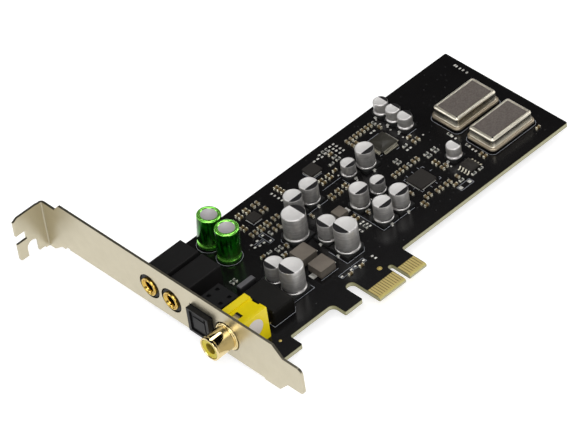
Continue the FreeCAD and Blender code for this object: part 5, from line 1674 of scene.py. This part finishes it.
@dataclass
class SolderWork(SubAssembly):
    """Solder under the board and at the terminals on top of it."""

    plain: ClassVar[dict[str, Finish]] = {"can_terminals": TIN}
    cones: tuple[tuple[str, str], ...] = (
        ("solder_joints", "soldered_legs"), ("oscillator_solder", "soldered_pins"),
    )
    spill: float = 0.2
    leg_radius: float = 0.36

    def make(self) -> None:
        """Replaces the plain cones and adds the fillets of the terminals."""
        for node, name in self.cones:
            joints = [self.joint(block).moved(*block.middle[:2], block.high[2]) for block in islands(node)]
            self.shelf.piece(name, "tin", [TIN], joints, [node], smooth=60)
        profile = [(0, 0), (0.03, 0.05)] + eased((0.06, 0.06), (0.2, 0.18), 3, hollow=True)
        fillets = []
        for block in islands("can_terminals"):
            length, width = block.size[:2] + self.spill
            fillets.append(stacked(rounded_box(length, width, 0.2, 3), profile).moved(*block.middle[:2]))
        self.shelf.piece("terminal_solder", "tin", [TIN], fillets, smooth=60)

    def joint(self, block: Block) -> Skin:
        """A joint that hangs from the board.

        Args:
            block: the box of the model's own cone.

        Returns:
            A hollow cone of solder round the end of a leg.
        """
        radius, height = block.size[0] / 2, block.size[2]
        profile = [(0.0, 0.0), (0.02, 0.05)]
        profile += eased((0.04, 0.06), (radius - self.leg_radius, height - 0.22), 5, hollow=True)
        profile += [(radius - 0.33, height - 0.06), (radius - 0.26, height)]
        return stacked(circle(radius, 20), profile).turned(UPSIDE_DOWN)


# Light, floor and camera

@dataclass(frozen=True)
class Softbox:
    """A square area light that looks at the card. Its place and side are metres, its power watts."""

    name: str
    place: Triple
    side: float
    power: float

    def build(self, target: Vector) -> None:
        """Hangs the light.

        Args:
            target: where it looks.
        """
        lamp = bpy.data.lights.new(self.name, "AREA")
        lamp.size, lamp.energy = self.side, self.power
        item = placed(self.name, lamp)
        item.location = self.place
        item.rotation_euler = (target - Vector(self.place)).to_track_quat("-Z", "Y").to_euler()


@dataclass
class Studio:
    """The pale floor, the soft light and the camera of the photograph, in metres and degrees."""

    eye: Triple = (-0.55463, -0.73523, 0.89338)
    target: Triple = (0.05371, 0.05021, 0.0)
    roll: float = 9.08
    lens: float = 263.6
    sensor: float = 36.0
    floor_drop: float = 0.0001
    floor_half: float = 4.0
    floor_grey: float = 0.55
    floor_glow: float = 0.70
    boxes: tuple[Softbox, ...] = (
        Softbox("overhead", (-0.35, -0.40, 0.90), 0.7, 6.5),
        Softbox("rear_overhead", (0.50, 0.42, 1.00), 0.34, 1.7),
        Softbox("left", (-1.0, -0.05, 0.45), 0.8, 4.0),
        Softbox("front", (-0.15, -1.1, 0.40), 0.8, 4.0),
        Softbox("right", (0.95, -0.34, 0.55), 0.6, 4.2),
        Softbox("left_rear", (-0.72, 0.75, 0.50), 0.6, 3.0),
    )
    horizon: float = 0.9
    zenith: float = 0.04
    band_top: Span = (0.34, 0.56)

    def build(self) -> None:
        """Sets up all of it."""
        self.floor()
        self.world()
        for box in self.boxes:
            box.build(Vector(self.target))
        self.camera()
        bpy.context.scene.view_settings.view_transform = "Standard"

    def floor(self) -> None:
        """A wide sheet just under the lowest point of the card."""
        level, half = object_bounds()[0].z - self.floor_drop, self.floor_half
        mesh = bpy.data.meshes.new("floor")
        corners = [(-half, -half, level), (half, -half, level), (half, half, level), (-half, half, level)]
        mesh.from_pydata(corners, [], [(0, 1, 2, 3)])
        nodes = Nodes("floor_paper")
        nodes.set(base_color=(self.floor_grey,) * 3, roughness=0.9, emission_color=(1.0, 1.0, 1.0),
                  emission_strength=self.floor_glow)
        mesh.materials.append(nodes.material)
        placed("floor", mesh)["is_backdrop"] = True

    def world(self) -> None:
        """Pale walls all round and a dark ceiling: brightness by height above the horizon."""
        world = bpy.data.worlds.new("studio")
        world.use_nodes = True
        tree = world.node_tree
        spot, split, ramp = (tree.nodes.new(f"ShaderNode{kind}")
                             for kind in ("TexCoord", "SeparateXYZ", "MapRange"))
        ramp.interpolation_type = "SMOOTHSTEP"
        for number, value in enumerate((*self.band_top, self.horizon, self.zenith), 1):
            ramp.inputs[number].default_value = value
        tree.links.new(spot.outputs["Generated"], split.inputs[0])
        tree.links.new(split.outputs["Z"], ramp.inputs[0])
        tree.links.new(ramp.outputs[0], tree.nodes["Background"].inputs["Strength"])
        bpy.context.scene.world = world

    def camera(self) -> None:
        """The long lens that took the photograph."""
        data = bpy.data.cameras.new("photo_camera")
        data.lens, data.sensor_width = self.lens, self.sensor
        look = (Vector(self.target) - Vector(self.eye)).to_track_quat("-Z", "Y").to_matrix()
        turn = look @ Matrix.Rotation(math.radians(-self.roll), 3, "Z")
        item = placed("photo_camera", data)
        item.matrix_world = Matrix.Translation(self.eye) @ turn.to_4x4()
        bpy.context.scene.camera = item


def main() -> None:
    """Builds the sub-assemblies in turn, then the studio."""
    logging.basicConfig(level=logging.INFO, format="%(message)s")
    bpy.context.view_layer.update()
    shelf = Shelf()
    for group in (Bracket(shelf), Relay(shelf), CircuitBoard(shelf), Sockets(shelf), CoaxOutput(shelf),
                  RadialCapacitors(shelf), *(SurfaceCapacitors(shelf, size) for size in CanSize),
                  Oscillators(shelf), Inductors(shelf), Chips(shelf), ChipParts(shelf), SolderWork(shelf)):
        group.build()
    Studio().build()


if __name__ == "__main__":
    main()
